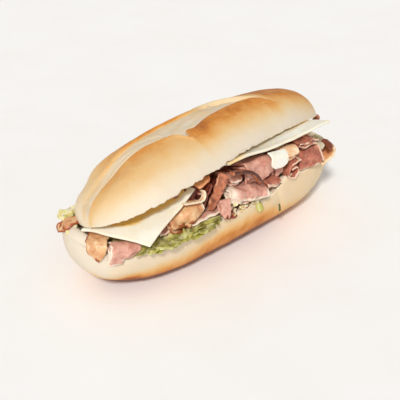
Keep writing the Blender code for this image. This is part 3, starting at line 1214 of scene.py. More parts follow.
    def turns(self, s: Array) -> Array:
        """The turns of the columns, closer together along the slash's two edges.

        Args:
            s: stations.

        Returns:
            The turn of each column at each station.
        """
        lip, far = through(self.lip_stops, s), through(self.far_stops, s)
        front, bloom, back = (np.arange(count) / count for count in self.columns)
        ahead = -1 + (lip + 1) * (0.4 * front + 0.6 * np.sin(front * math.pi / 2))
        inside = lip + (far - lip) * (1 - np.cos(bloom * math.pi)) / 2
        behind = far + (1 - far) * np.append(back, 1.0) ** 1.3
        return np.concatenate((ahead, inside, behind), axis=1)

    def shell(self) -> Shell:
        """The whole half as a closed mesh.

        Returns:
            The shell, with its baking and open crumb, where it sits.
        """
        s = self.along()
        turn = self.turns(s)
        share, out = self.section(s, turn)
        skin = self.flat(s, share)
        skin[..., 2] += out - self.hollow(s, turn) * np.cos(turn * math.pi / 2)
        outward = normals(skin)
        run = arc_length(skin)
        lip_at, far_at = self.columns[0], self.columns[0] + self.columns[1]
        past_lip = run - run[:, lip_at : lip_at + 1]
        past_far = run - run[:, far_at : far_at + 1]
        rim = from_rim(run)
        calm = self.calm(s)

        flow = np.stack((skin[..., 0], past_lip, 0 * past_lip), -1)
        relief = self.slash(s, past_lip, past_far, flow)
        relief += self.skin_relief(skin) * (1 - bell(rim, 1.2))
        relief -= self.crease_depth * self.crease(s, turn) + self.score_depth * self.scored(s, turn)
        relief += self.nub_height * bell(s - self.nub_at[0], 0.014) * bell(turn - self.nub_at[1], 0.03)
        bake = self.browning(s, turn, past_lip, past_far, flow) + 0.04 * self.blotches.at(skin)
        skin = skin + outward * (relief * calm)[..., None]
        rough = 2.1 - 1.5 * step(-0.1, 0.1, s)
        skin[..., 2] += bell(rim, 1.5) * (rough * self.tear(skin) - 0.5) * calm

        face = self.flat(s, self.span())
        face[..., 2] += (self.crumb_relief(face) + 0.2) * calm
        masks = {
            Mask.BAKE.value: np.concatenate((bake, np.zeros(face.shape[:2])), axis=1),
            Mask.CRUMB.value: np.concatenate((bell(rim, 0.8), np.ones(face.shape[:2])), axis=1),
        }
        tips = self.flat(np.array([-1.0, 1.0]), np.zeros(2))
        rings = self.to_world(np.concatenate((skin, face), axis=1))
        return Shell.ringed(rings, self.to_world(tips), masks)

    def opening(self, s: Array) -> Array:
        """How far the slash is open at station s, from 0 to 1."""
        return step(-0.99, -0.90, s) * (1 - step(0.28, 0.42, s))

    def scored(self, s: Array, turn: Array) -> Array:
        """The short pale scores where the slash runs out at the right.

        Args:
            s: stations.
            turn: turns round the section.

        Returns:
            1 on a score, falling to 0 beside it.
        """
        found = np.zeros(np.broadcast(s, turn).shape)
        past = s - self.marks_at
        for middle, slope, reach in self.marks:
            found = np.maximum(found, bell(turn - middle - slope * past, 0.014) * bell(past, reach))
        return found

    def slash(self, s: Array, past_lip: Array, past_far: Array, flow: Array) -> Array:
        """Relief of the slash.

        Args:
            s: stations.
            past_lip: distance behind the front lobes' lip.
            past_far: distance behind the slash's back edge.
            flow: places along and across the slash, for its wrinkles.

        Returns:
            Height over the plain skin: a proud lip, a sunk strip rising to the back, a low ridge.
        """
        depth = 1 - np.exp(-np.maximum(0.0, past_lip) / self.wall)
        width = np.maximum(2.0, past_lip - past_far)
        rising = 1 - 0.7 * step(0.2, 1.0, past_lip / width) * (1 - step(0.02, 0.2, s))
        behind = 1 - step(-0.5, 2.0, past_far)
        strip = -self.sink * depth * rising * behind
        fine, coarse = self.wrinkle_depths
        strip += behind * depth * (fine * self.wrinkles.at(flow) + coarse * self.folds.at(flow))
        height = 0.7 + 0.7 * bell(s + 0.35, 0.25)
        ridge = height * bell(past_far - 3.0, 3.0) * step(-1.0, 1.5, past_far)
        lip = self.lip_rise * bell(past_lip, 5.0) * (1 - step(-0.4, 0.5, past_lip))
        fading = step(-0.99, -0.9, s) * (1 - step(0.3, 0.5, s))
        return self.opening(s) * (strip + ridge) + fading * lip

    def crease(self, s: Array, turn: Array) -> Array:
        """The short crease where the left lobe's lip runs on under the right lobe.

        Args:
            s: stations.
            turn: turns round the section.

        Returns:
            1 on the crease, falling to 0 beside it and at its end.
        """
        t = np.clip((s - self.notch) / self.crease_reach, 0.0, 1.0)
        middle = -0.41 - 0.06 * t
        past = s - self.notch - self.crease_reach * t
        return bell(turn - middle, 0.012) * bell(past * 100, 1.2) * (1 - t)

    def browning(self, s: Array, turn: Array, past_lip: Array, past_far: Array, flow: Array) -> Array:
        """How dark the crust is baked at each point.

        Args:
            s: stations.
            turn: turns round the section.
            past_lip: distance behind the lobes' lip.
            past_far: distance behind the slash's back edge.
            flow: places along and across the slash.

        Returns:
            0 for pale crumb to 1 for dark gold.
        """
        closed = step(0.33, 0.47, s)
        lip = through(self.lip_stops, s)
        lip = lip + (-0.30 - lip) * closed
        climb = np.clip((turn + 1) / (lip + 1), 0.0, 1.0)
        reach = 0.009 + 0.30 * (1 - climb)
        right = step(self.notch - reach, self.notch + reach, s + 0 * climb)
        first = 0.10 - 0.14 * step(-0.33, 0.3, s) - 0.30 * step(0.45, 0.9, s)
        peak = through(self.peaks, s)
        lobe = peak * ((1 - right) * climb**0.95 + right * step(first, 0.97, climb))
        lobe += 0.22 * bell(past_lip, 0.7) * self.opening(s) * (1 - 0.5 * right)

        across = np.clip(past_lip / np.maximum(2.0, past_lip - past_far), 0.0, 1.0)
        strip = 0.08 + 0.25 * across + 0.13 * self.wrinkles.at(flow)
        past = turn - through(self.far_stops, s)
        ridge = through(self.ridges, s) * (1 - 0.6 * step(0.15, 0.6, past))
        inside, beyond = step(-0.3, 0.3, past_lip), step(-0.8, 1.0, past_far)
        opened = lobe * (1 - inside) + inside * (strip * (1 - beyond) + ridge * beyond)
        dome = peak * (1 - step(0.1, 0.9, turn))
        shut = np.where(turn < lip, lobe, dome) - 0.4 * self.scored(s, turn)
        return self.oven * (opened * (1 - closed) + shut * closed)


# ---------------------------------------------------------------------------------------------
# The fillings
# ---------------------------------------------------------------------------------------------


@dataclass(frozen=True)
class Rim:
    """How far something reaches in from each edge of a slice, in mm."""

    tip: float = 0.0
    left: float = 0.0
    right: float = 0.0

    def mask(self, to_tip: Array, to_left: Array, to_right: Array) -> Array:
        """Where the rim lies.

        Args:
            to_tip: distance of each point from the slice's tip.
            to_left: distance from its left edge, seen along the slice.
            to_right: distance from its right edge.

        Returns:
            1 on the rim, falling to 0 further in.
        """
        found = np.zeros_like(to_tip)
        for reach, gap in ((self.tip, to_tip), (self.left, to_left), (self.right, to_right)):
            if reach > 0:
                found = np.maximum(found, 1 - step(0.55 * reach, 1.15 * reach, gap))
        return found


@dataclass
class Slice:
    """A slice of filling: a strip that follows a chain of bends, with uneven edges and ruffles.

    Directions are (angle about Z, elevation) pairs and `bends` are (length, degrees) parts. A bend
    above 0 turns the strip towards `along` x `across`. With `edge` the start is at one long edge
    and not in the middle. `tip` is the length that narrows to the tip, and with `fan` each ply
    behind the front one hangs a little lower.
    """

    node: str
    finish: MeatFinish | LeafFinish | CheeseFinish
    start: Point
    along: Pair
    across: Pair
    width: float
    bends: tuple[Pair, ...]
    edge: bool = False
    tip: float = 0.0
    wave: float = 0.0
    waves: float = 1.5
    thickness: float = 1.3
    uneven: float = 0.7
    ruffle: float = 0.5
    plies: int = 1
    ply_gap: float = 2.0
    fan: float = 0.0
    sharp: float = 0.5
    slant: float = 0.0
    fat: Rim = Rim()
    browned: Rim = Rim()
    rib: float = 0.0
    seed: int = 0
    pitch: float = 0.5
    rounding: float = 0.7
    ply_shorter: float = 0.9
    ply_shift: float = 1.3
    ply_narrower: float = 0.94
    tip_uneven: float = 1.3
    tip_narrowest: float = 0.25
    coarseness: float = 0.05
    edge_gap: float = 20.0
    least: float = 0.12

    def path(self) -> tuple[Array, Array, Array, Array]:
        """The middle line, with its bends rounded off.

        Returns:
            Its points, headings and normals, and the distance gone at each.
        """
        along = heading(*self.along)
        across = heading(*self.across)
        across = across - along * (across @ along)
        across /= np.linalg.norm(across)
        normal = np.cross(along, across)
        lengths = np.array([length for length, _ in self.bends])
        rates = np.array([math.radians(bend) / length for length, bend in self.bends])
        count = max(4, round(lengths.sum() / self.pitch))
        gone = np.linspace(0.0, lengths.sum(), count + 1)
        ends = np.cumsum(lengths)
        rate = rates[np.minimum(np.searchsorted(ends, gone), len(rates) - 1)]
        spread = np.arange(-6, 7)
        kernel = bell(spread, 1.0 / self.pitch)
        rate = np.convolve(np.pad(rate, 6, mode="edge"), kernel / kernel.sum(), mode="valid")
        gap = gone[1]
        turn = np.concatenate(((0.0,), np.cumsum((rate[1:] + rate[:-1]) / 2 * gap)))[:, None]
        headings = along * np.cos(turn) + normal * np.sin(turn)
        sides = normal * np.cos(turn) - along * np.sin(turn)
        moves = (headings[1:] + headings[:-1]) / 2 * gap
        points = np.array(self.start) + np.concatenate((np.zeros((1, 3)), np.cumsum(moves, axis=0)))
        return points, headings, sides, gone

    def shell(self) -> Shell:
        """The slice and the plies folded behind it.

        Returns:
            All of them as one mesh.
        """
        along, across = heading(*self.along), heading(*self.across)
        back = np.cross(along, across)
        back *= -self.ply_gap / np.linalg.norm(back)
        (first, bend), *others = self.bends
        plies = [self.ply()]
        for index in range(1, self.plies):
            shorter = (first - self.ply_shorter * self.ply_gap * index, bend)
            end = (0.01 + self.fan * index, 0.0)
            shift = back * index + across * (self.ply_shift * (-1) ** index)
            behind = replace(
                self, start=tuple(np.array(self.start) + shift), bends=(shorter, *others, end),
                width=self.ply_narrower * self.width, seed=self.seed + 7 * index,
            )
            plies.append(behind.ply())
        return Shell.joined(plies)

    def ply(self) -> Shell:
        """One closed slab with thin rounded edges.

        Returns:
            The slab, with its fat, browned edges and rib.
        """
        points, headings, sides, gone = self.path()
        across = np.cross(sides[0], headings[0])
        run = gone[-1]
        cells = max(6, round(self.width / self.pitch))
        u = np.sin(np.linspace(-math.pi / 2, math.pi / 2, cells + 1))[None, :]
        gone, left = gone[:, None], run - gone[:, None]
        half = self.width / 2 * np.ones_like(gone)
        if self.tip > 0:
            near = np.minimum(1.0, left / self.tip)
            half = half * np.maximum(self.tip_narrowest, (1 - (1 - near) ** 2) ** self.sharp)
        lane = np.stack((gone + 0 * u, self.edge_gap * np.sign(u) + 0 * gone, 0 * gone + 0 * u), -1)
        reach = half + self.uneven * np.abs(u) * Noise(size=4.5, seed=self.seed + 5).at(lane)
        beside = reach * u + (self.width / 2 if self.edge else 0.0)

        flat = np.stack((gone + 0 * u, self.width / 2 * u + 0 * gone, 7.0 + 0 * gone * u), -1)
        free = np.clip(gone / run, 0.0, 1.0)
        lift = self.wave * free * np.sin(math.pi * self.waves * u)
        folds = Noise(size=6.5, seed=self.seed + 17, octaves=3).at(flat)
        lift = lift + self.ruffle * (0.35 + 0.65 * free) * folds
        lift = lift + self.coarseness * Noise(size=1.3, seed=self.seed + 23, octaves=2).at(flat)
        torn = Noise(size=4.0, seed=self.seed + 29, octaves=2).at(flat[-1:, :])
        end = self.uneven * self.tip_uneven * torn * step(5.0, 0.0, left)

        short = abs(self.slant) * (1 + math.copysign(1.0, self.slant) * u) / 2
        places = gone * (1 - short)
        points, sides, headings = (blend(places, gone[:, 0], way) for way in (points, sides, headings))
        middle = points + across * beside[..., None] + sides * lift[..., None]
        middle = middle + headings * end[..., None]
        to_right, to_left = reach * (1 - u), reach * (1 + u)
        border = np.minimum(np.minimum(to_right, to_left), np.minimum(left, gone + 0 * u))
        thick = self.thickness / 2 * rounded(border, self.rounding, self.least)
        outward = normals(middle)
        outward *= np.sign(np.sum(outward * sides, axis=-1, keepdims=True) + 1e-9)
        patchy = 0.9 * Noise(size=3.2, seed=self.seed + 31).at(flat)
        tip_gap = left + 0 * u + patchy
        masks = {
            Mask.FAT.value: self.fat.mask(tip_gap, to_left + patchy, to_right + patchy),
            Mask.BROWNED_OR_SHADOW.value: self.browned.mask(tip_gap + patchy, to_left - patchy, to_right - patchy),
            Mask.RIB.value: self.rib * bell(u + 0.1 * patchy, 0.3) + 0 * gone,
        }
        return Shell.sheet(middle, outward * thick[..., None], masks)


@dataclass
class Cheese:
    """A slice of cheese: a thin sheet from its front corner, pressed down where the crown is low."""

    node: str
    corner: Point
    right: Point
    back: Point
    wave: float
    crown: Crown
    seed: int
    droop: float = 0.0
    # Behind this curve, in shares of the width and depth, the slice takes painted shadow from the crown.
    golden: Curve = ()
    thickness: float = 2.0
    gap: float = 0.8
    ease: float = 3.0
    pitch: float = 0.8
    rounding: float = 0.9
    least: float = 0.2

    def shell(self) -> Shell:
        """The slice as a closed slab.

        Returns:
            The slab, with its painted shadow along the crown's edge.
        """
        right, back = np.array(self.right), np.array(self.back)
        wide, deep = np.linalg.norm(right), np.linalg.norm(back)
        u = (1 - np.cos(np.linspace(0.0, math.pi, round(wide / self.pitch))))[:, None] / 2
        v = (1 - np.cos(np.linspace(0.0, math.pi, round(deep / self.pitch))))[None, :] / 2
        point = np.array(self.corner) + right * u[..., None] + back * v[..., None]
        edge = np.stack((wide * u + 0 * v, deep * v + 0 * u, 3.0 + 0 * u * v), -1)
        sway = Noise(size=13.0, seed=self.seed, octaves=2).at(edge)
        point += back / deep * (0.5 * sway * step(0.25, 0.0, v))[..., None]
        point += right / wide * (0.4 * sway * (step(0.2, 0.0, u) + step(0.8, 1.0, u)))[..., None]
        rise = self.wave * (1 - v) * np.sin(7.0 * u + 4.0 * v)
        uneven = Noise(size=16.0, seed=self.seed + 4, octaves=2).at(edge)
        rise = rise + 0.3 * (1 - 0.6 * v) * uneven
        point[..., 2] += rise
        roof = self.crown.underside(point[..., 0], point[..., 1]) - self.thickness - self.gap
        under = point[..., 2] - roof
        pressed = (np.maximum(0.0, under + self.ease) ** 2) / (4 * self.ease)
        point[..., 2] -= np.where(np.abs(under) < self.ease, pressed, 0.0)
        point[..., 2] = np.where(under >= self.ease, roof, point[..., 2])
        sagging = step(0.12, 0.40, u) * (1 - 0.5 * step(0.6, 1.0, u)) * (1 - step(0.0, 0.35, v))
        point[..., 2] -= self.droop * sagging
        border = np.minimum(np.minimum(u, 1 - u) * wide, np.minimum(v, 1 - v) * deep)
        thick = self.thickness / 2 * rounded(border, self.rounding, self.least)
        middle = point + np.array((0.0, 0.0, self.thickness / 2))
        outward = normals(middle)
        outward *= np.sign(outward[..., 2:])
        # Painted shadow just in front of the crown's edge, and behind the given curve on the left slice.
        painted_shadow = 0.9 * (1 - step(1.5, 4.0, self.crown.ahead(middle)))
        if self.golden:
            painted_shadow = np.maximum(painted_shadow, step(-0.02, 0.07, v - through(self.golden, u)))
        masks = {Mask.BROWNED_OR_SHADOW.value: np.maximum(0.12 * (1 - step(0.3, 2.0, border)), painted_shadow)}
        return Shell.sheet(middle, outward * thick[..., None], masks)


@dataclass
class Shred:
    """One shred or torn leaf of lettuce, a thin ribbon that bends, twists and frills."""

    place: Point
    angle: float
    climb: float
    length: float
    width: float
    curl: float
    frill: float
    seed: int
    bow: float = 0.1
    twist: float = 0.2
    thickness: float = 0.55
    cells: tuple[int, int] = (18, 6)

    def shell(self) -> Shell:
        """The ribbon as a closed slab.

        Returns:
            The slab, with its rib.
        """
        rows, columns = self.cells
        t = np.linspace(-0.5, 0.5, rows + 1)[:, None]
        u = np.linspace(-1.0, 1.0, columns + 1)[None, :]
        half = self.width / 2 * (1 - np.abs(2 * t) ** 3) ** 0.5 + 0.25
        x = self.length * t + 0 * u
        y = self.bow * self.length * (t * t - 0.08) + half * u
        local = np.stack((x, y, self.seed * 3.7 + 0 * x), -1)
        ruffle = Noise(size=4.0, seed=71, octaves=2).at(local) * self.frill * (0.25 + u * u)
        z = self.curl * self.length * t * t + half * u * math.tan(self.twist) * 2 * t + ruffle
        c, s = math.cos(self.climb), math.sin(self.climb)
        x, z = x * c - z * s, x * s + z * c
        c, s = math.cos(self.angle), math.sin(self.angle)
        middle = np.stack((x * c - y * s, x * s + y * c, z), -1) + np.array(self.place)
        from_edge = np.clip((1 - np.abs(u)) * 4 + 0 * t, 0.0, 1.0)
        from_end = np.clip((0.5 - np.abs(t)) * 12, 0.0, 1.0)
        thick = self.thickness / 2 * (0.3 + 0.7 * (from_edge * from_end))
        masks = {Mask.RIB.value: bell(u - 0.6 * math.sin(self.seed * 1.7), 0.35) * (0.7 + 0 * t)}
        return Shell.sheet(middle, normals(middle) * thick[..., None], masks)


@dataclass
class Lettuce:
    """Shredded lettuce heaped on the heel: a low core under loose shreds and torn leaves."""

    heel: Heel
    first: float = -95.5
    last: float = 94.0
    gap: float = 0.4
    inset: float = 2.2
    bury: float = 0.9
    set_back: float = 5.0
    overhang: float = 8.0
    loose: float = 0.7
    shreds: int = 210
    leaves: int = 40
    leaves_from: float = -84.0
    leaves_run: float = 57.0
    seed: int = 5

    def floor(self, x: Array) -> Array:
        """Height of the bread under the heap."""
        return self.heel.rim((x - self.heel.centre) / (self.heel.length / 2)) + self.gap

    def front(self, x: Array) -> Array:
        """The front outline: over the rim along the left half, behind it along the right.

        Args:
            x: places along the roll.

        Returns:
            The outline's Y at each place.
        """
        s = (x - self.heel.centre) / (self.heel.length / 2)
        rim = self.heel.cut(s, -1.0 + 0 * s)[..., 1]
        shown = step(-88, -79, x) * (1 - step(-34, -24, x))
        ragged = 1.2 * np.sin(0.55 * x) + 0.9 * np.sin(1.27 * x + 1.0)
        tucked = 12.0 * (1 - step(-92, -84, x)) + 9.0 * step(-20, -8, x)
        return rim + self.set_back - self.overhang * shown + tucked + ragged

    def back(self, x: Array) -> Array:
        """The back outline, along the heel's back rim."""
        s = (x - self.heel.centre) / (self.heel.length / 2)
        return self.heel.cut(s, 1.0 + 0 * s)[..., 1] - 0.5 + 1.1 * np.sin(0.48 * x + 2.0)

    def heap(self, x: Array, y: Array, share: Array) -> Array:
        """Height of the heap over the heel, with `share` from 0 in front to 1 at the back."""
        edge = step(0.0, 0.15, share) * (1 - step(0.85, 1.0, share))
        return 1.0 + (1.9 - 1.7 * share) * edge + 0.35 * edge * np.sin(0.8 * x + 0.5 * y)

    def core(self) -> Shell:
        """The low core that the shreds lie on.

        Returns:
            The core as a closed slab.
        """
        x = np.linspace(self.first + self.inset, self.last - self.inset, 150)[:, None]
        share = np.linspace(0.0, 1.0, 50)[None, :]
        front, back = self.front(x) + self.inset, self.back(x) - self.inset
        y = front + (back - front) * share
        x = x + 0 * share
        points = np.stack((x, y, 0 * x), -1)
        height = self.heap(x, y, share) - self.bury + 0.5 * Noise(size=3.0, seed=91).at(points)
        top = np.stack((x, y, self.floor(x) + np.maximum(0.15, height)), -1)
        bottom = np.stack((x, y, self.floor(x) + 0 * y), -1)
        return Shell.slab(top, bottom, {Mask.RIB.value: np.full(x.shape, 0.15)})

    def shell(self) -> Shell:
        """The core, shreds and leaves.

        Returns:
            All of them as one mesh.
        """
        dice = np.random.default_rng(self.seed)
        pieces = [self.core()]
        for index in range(self.shreds):
            x = dice.uniform(self.first + 6, self.last - 6)
            inside = dice.random() < self.loose
            share = dice.uniform(0.02, 0.98) ** 1.5 if inside else dice.uniform(0.9, 1.0)
            front, back = self.front(x), self.back(x)
            y = front + (back - front) * share
            height = self.heap(x, y, share)
            pieces.append(Shred(
                place=(x, y, self.floor(x) + dice.uniform(0.3, 0.9) * height),
                angle=dice.normal(0.0, 0.5) + (math.pi if dice.random() < 0.5 else 0.0),
                climb=dice.normal(0.0, 0.03), length=dice.uniform(9, 20), width=dice.uniform(2.0, 4.5),
                bow=dice.normal(0.0, 0.35), curl=dice.normal(0.0, 0.03), twist=dice.normal(0.0, 0.35),
                frill=dice.uniform(0.2, 0.5), seed=index,
            ).shell())
        for index in range(self.leaves):
            x = self.leaves_from + self.leaves_run * (index + dice.uniform(-0.3, 0.3)) / self.leaves
            y = self.front(x) + dice.uniform(0.2, 3.0)
            pieces.append(Shred(
                place=(x, y, self.floor(x) + dice.uniform(-0.8, 2.2)),
                angle=dice.normal(0.2, 0.4), climb=dice.normal(0.0, 0.10), length=dice.uniform(9, 17),
                width=dice.uniform(4.5, 8.5), bow=dice.normal(0.0, 0.3), curl=dice.normal(-0.05, 0.06),
                twist=dice.normal(0.0, 0.5), frill=dice.uniform(0.6, 1.3), seed=500 + index,
                cells=(22, 10),
            ).shell())
        return Shell.joined(pieces)


@dataclass
class Crumbs:
    """Small irregular bits lying about in one patch."""

    count: int
    patch: tuple[Point, Point]
    size: Pair
    seed: int
    flatness: float = 0.8
    rings: int = 7
    around: int = 10

    def bit(self, place: Point, size: float, seed: int) -> Shell:
        """One lumpy bit.

        Args:
            place: its middle.
            size: its length.
            seed: which shape.

        Returns:
            The bit's closed shell.
        """
        up = np.linspace(-1.0, 1.0, self.rings + 2)[1:-1, None] * math.pi / 2
        turn = np.linspace(0.0, 2 * math.pi, self.around, endpoint=False)[None, :]
        out = np.cos(up)
        ball = np.stack((np.sin(up) + 0 * turn, out * np.cos(turn), out * np.sin(turn)), -1)
        tips = np.array(((-1.0, 0.0, 0.0), (1.0, 0.0, 0.0)))
        shape = np.array((0.5, 0.36, 0.3 * self.flatness)) * size
        c, s = math.cos(seed * 2.4), math.sin(seed * 2.4)
        spun = np.array(((c, -s, 0), (s, c, 0), (0, 0, 1)))
        lumpy = Noise(size=1.1, seed=83, octaves=2)
        grown = [part * (1 + 0.35 * lumpy.at(part + seed * 5.0))[..., None] for part in (ball, tips)]
        rings, ends = (part * shape @ spun.T + np.array(place) for part in grown)
        masks = {Mask.BROWNED_OR_SHADOW.value: np.full(rings.shape[:2], 0.3 + 0.5 * math.sin(seed * 1.3) ** 2)}
        return Shell.ringed(rings, ends, masks)

    def shell(self) -> Shell:
        """All the bits.

        Returns:
            All of them as one mesh.
        """
        dice = np.random.default_rng(self.seed)
        low, high = (np.array(corner) for corner in self.patch)
        bits = []
        for index in range(self.count):
            place = tuple(low + (high - low) * dice.random(3))
            bits.append(self.bit(place, dice.uniform(*self.size), index + 10 * self.seed))
        return Shell.joined(bits)


# ---------------------------------------------------------------------------------------------
# What goes into the roll
# ---------------------------------------------------------------------------------------------

HAM = MeatFinish(
    "ham_pink", Slot.HAM, lean=paint(224, 166, 144), deep=paint(196, 128, 108),
    fat=paint(248, 226, 204), browned=paint(160, 88, 56), marbling=0.12,
)
# A darker copy of the ham for slices that lie in shade: painted shade.
HAM_SHADED = MeatFinish(
    "ham_shaded", Slot.HAM, lean=paint(190, 106, 80), deep=paint(142, 68, 48),
    fat=paint(238, 202, 174), browned=paint(116, 56, 34), marbling=0.12,
)
CREAM = MeatFinish(
    "turkey_pale", Slot.TURKEY, lean=paint(246, 216, 176), deep=paint(230, 178, 130),
    fat=paint(252, 238, 214), browned=paint(196, 116, 62), marbling=0.35,
)
TURKEY = MeatFinish(
    "turkey_roast", Slot.TURKEY, lean=paint(230, 184, 132), deep=paint(206, 136, 80),
    fat=paint(251, 228, 196), browned=paint(160, 80, 34), mottle=7.0, marbling=0.45, pepper=0.35,
)
TURKEY_BROWN = MeatFinish(
    "turkey_browned", Slot.TURKEY, lean=paint(222, 150, 96), deep=paint(186, 104, 56),
    fat=paint(248, 214, 170), browned=paint(120, 56, 26), mottle=6.0, marbling=0.15, pepper=0.3,
)
BEEF = MeatFinish(
    "beef_roast", Slot.BEEF, lean=paint(192, 114, 76), deep=paint(118, 54, 34),
    fat=paint(222, 162, 124), browned=paint(82, 34, 20), mottle=3.5, marbling=0.3,
)
# A darker copy of the beef for slices and gaps that lie in shade: painted shade.
BEEF_SHADED = MeatFinish(
    "beef_shaded", Slot.BEEF, lean=paint(132, 58, 40), deep=paint(74, 24, 16),
    fat=paint(190, 120, 92), browned=paint(52, 20, 12), mottle=3.5, marbling=0.2,
)
BEEF_RED = MeatFinish(
    "beef_rare", Slot.BEEF, lean=paint(212, 96, 66), deep=paint(168, 56, 38),
    fat=paint(228, 164, 128), browned=paint(98, 40, 26), mottle=4.0, marbling=0.25,
)
CHEESE = CheeseFinish()
LEAF = LeafFinish()
LEAF_PALE = LeafFinish(
    "lettuce_heart", Slot.LETTUCE, blade=paint(244, 234, 184), dark=paint(222, 208, 132),
    rib=paint(252, 246, 222),
)
HERB = LeafFinish(
    "dried_herb", Slot.LETTUCE, blade=paint(92, 98, 36), dark=paint(58, 66, 24),
    rib=paint(120, 120, 60),
)

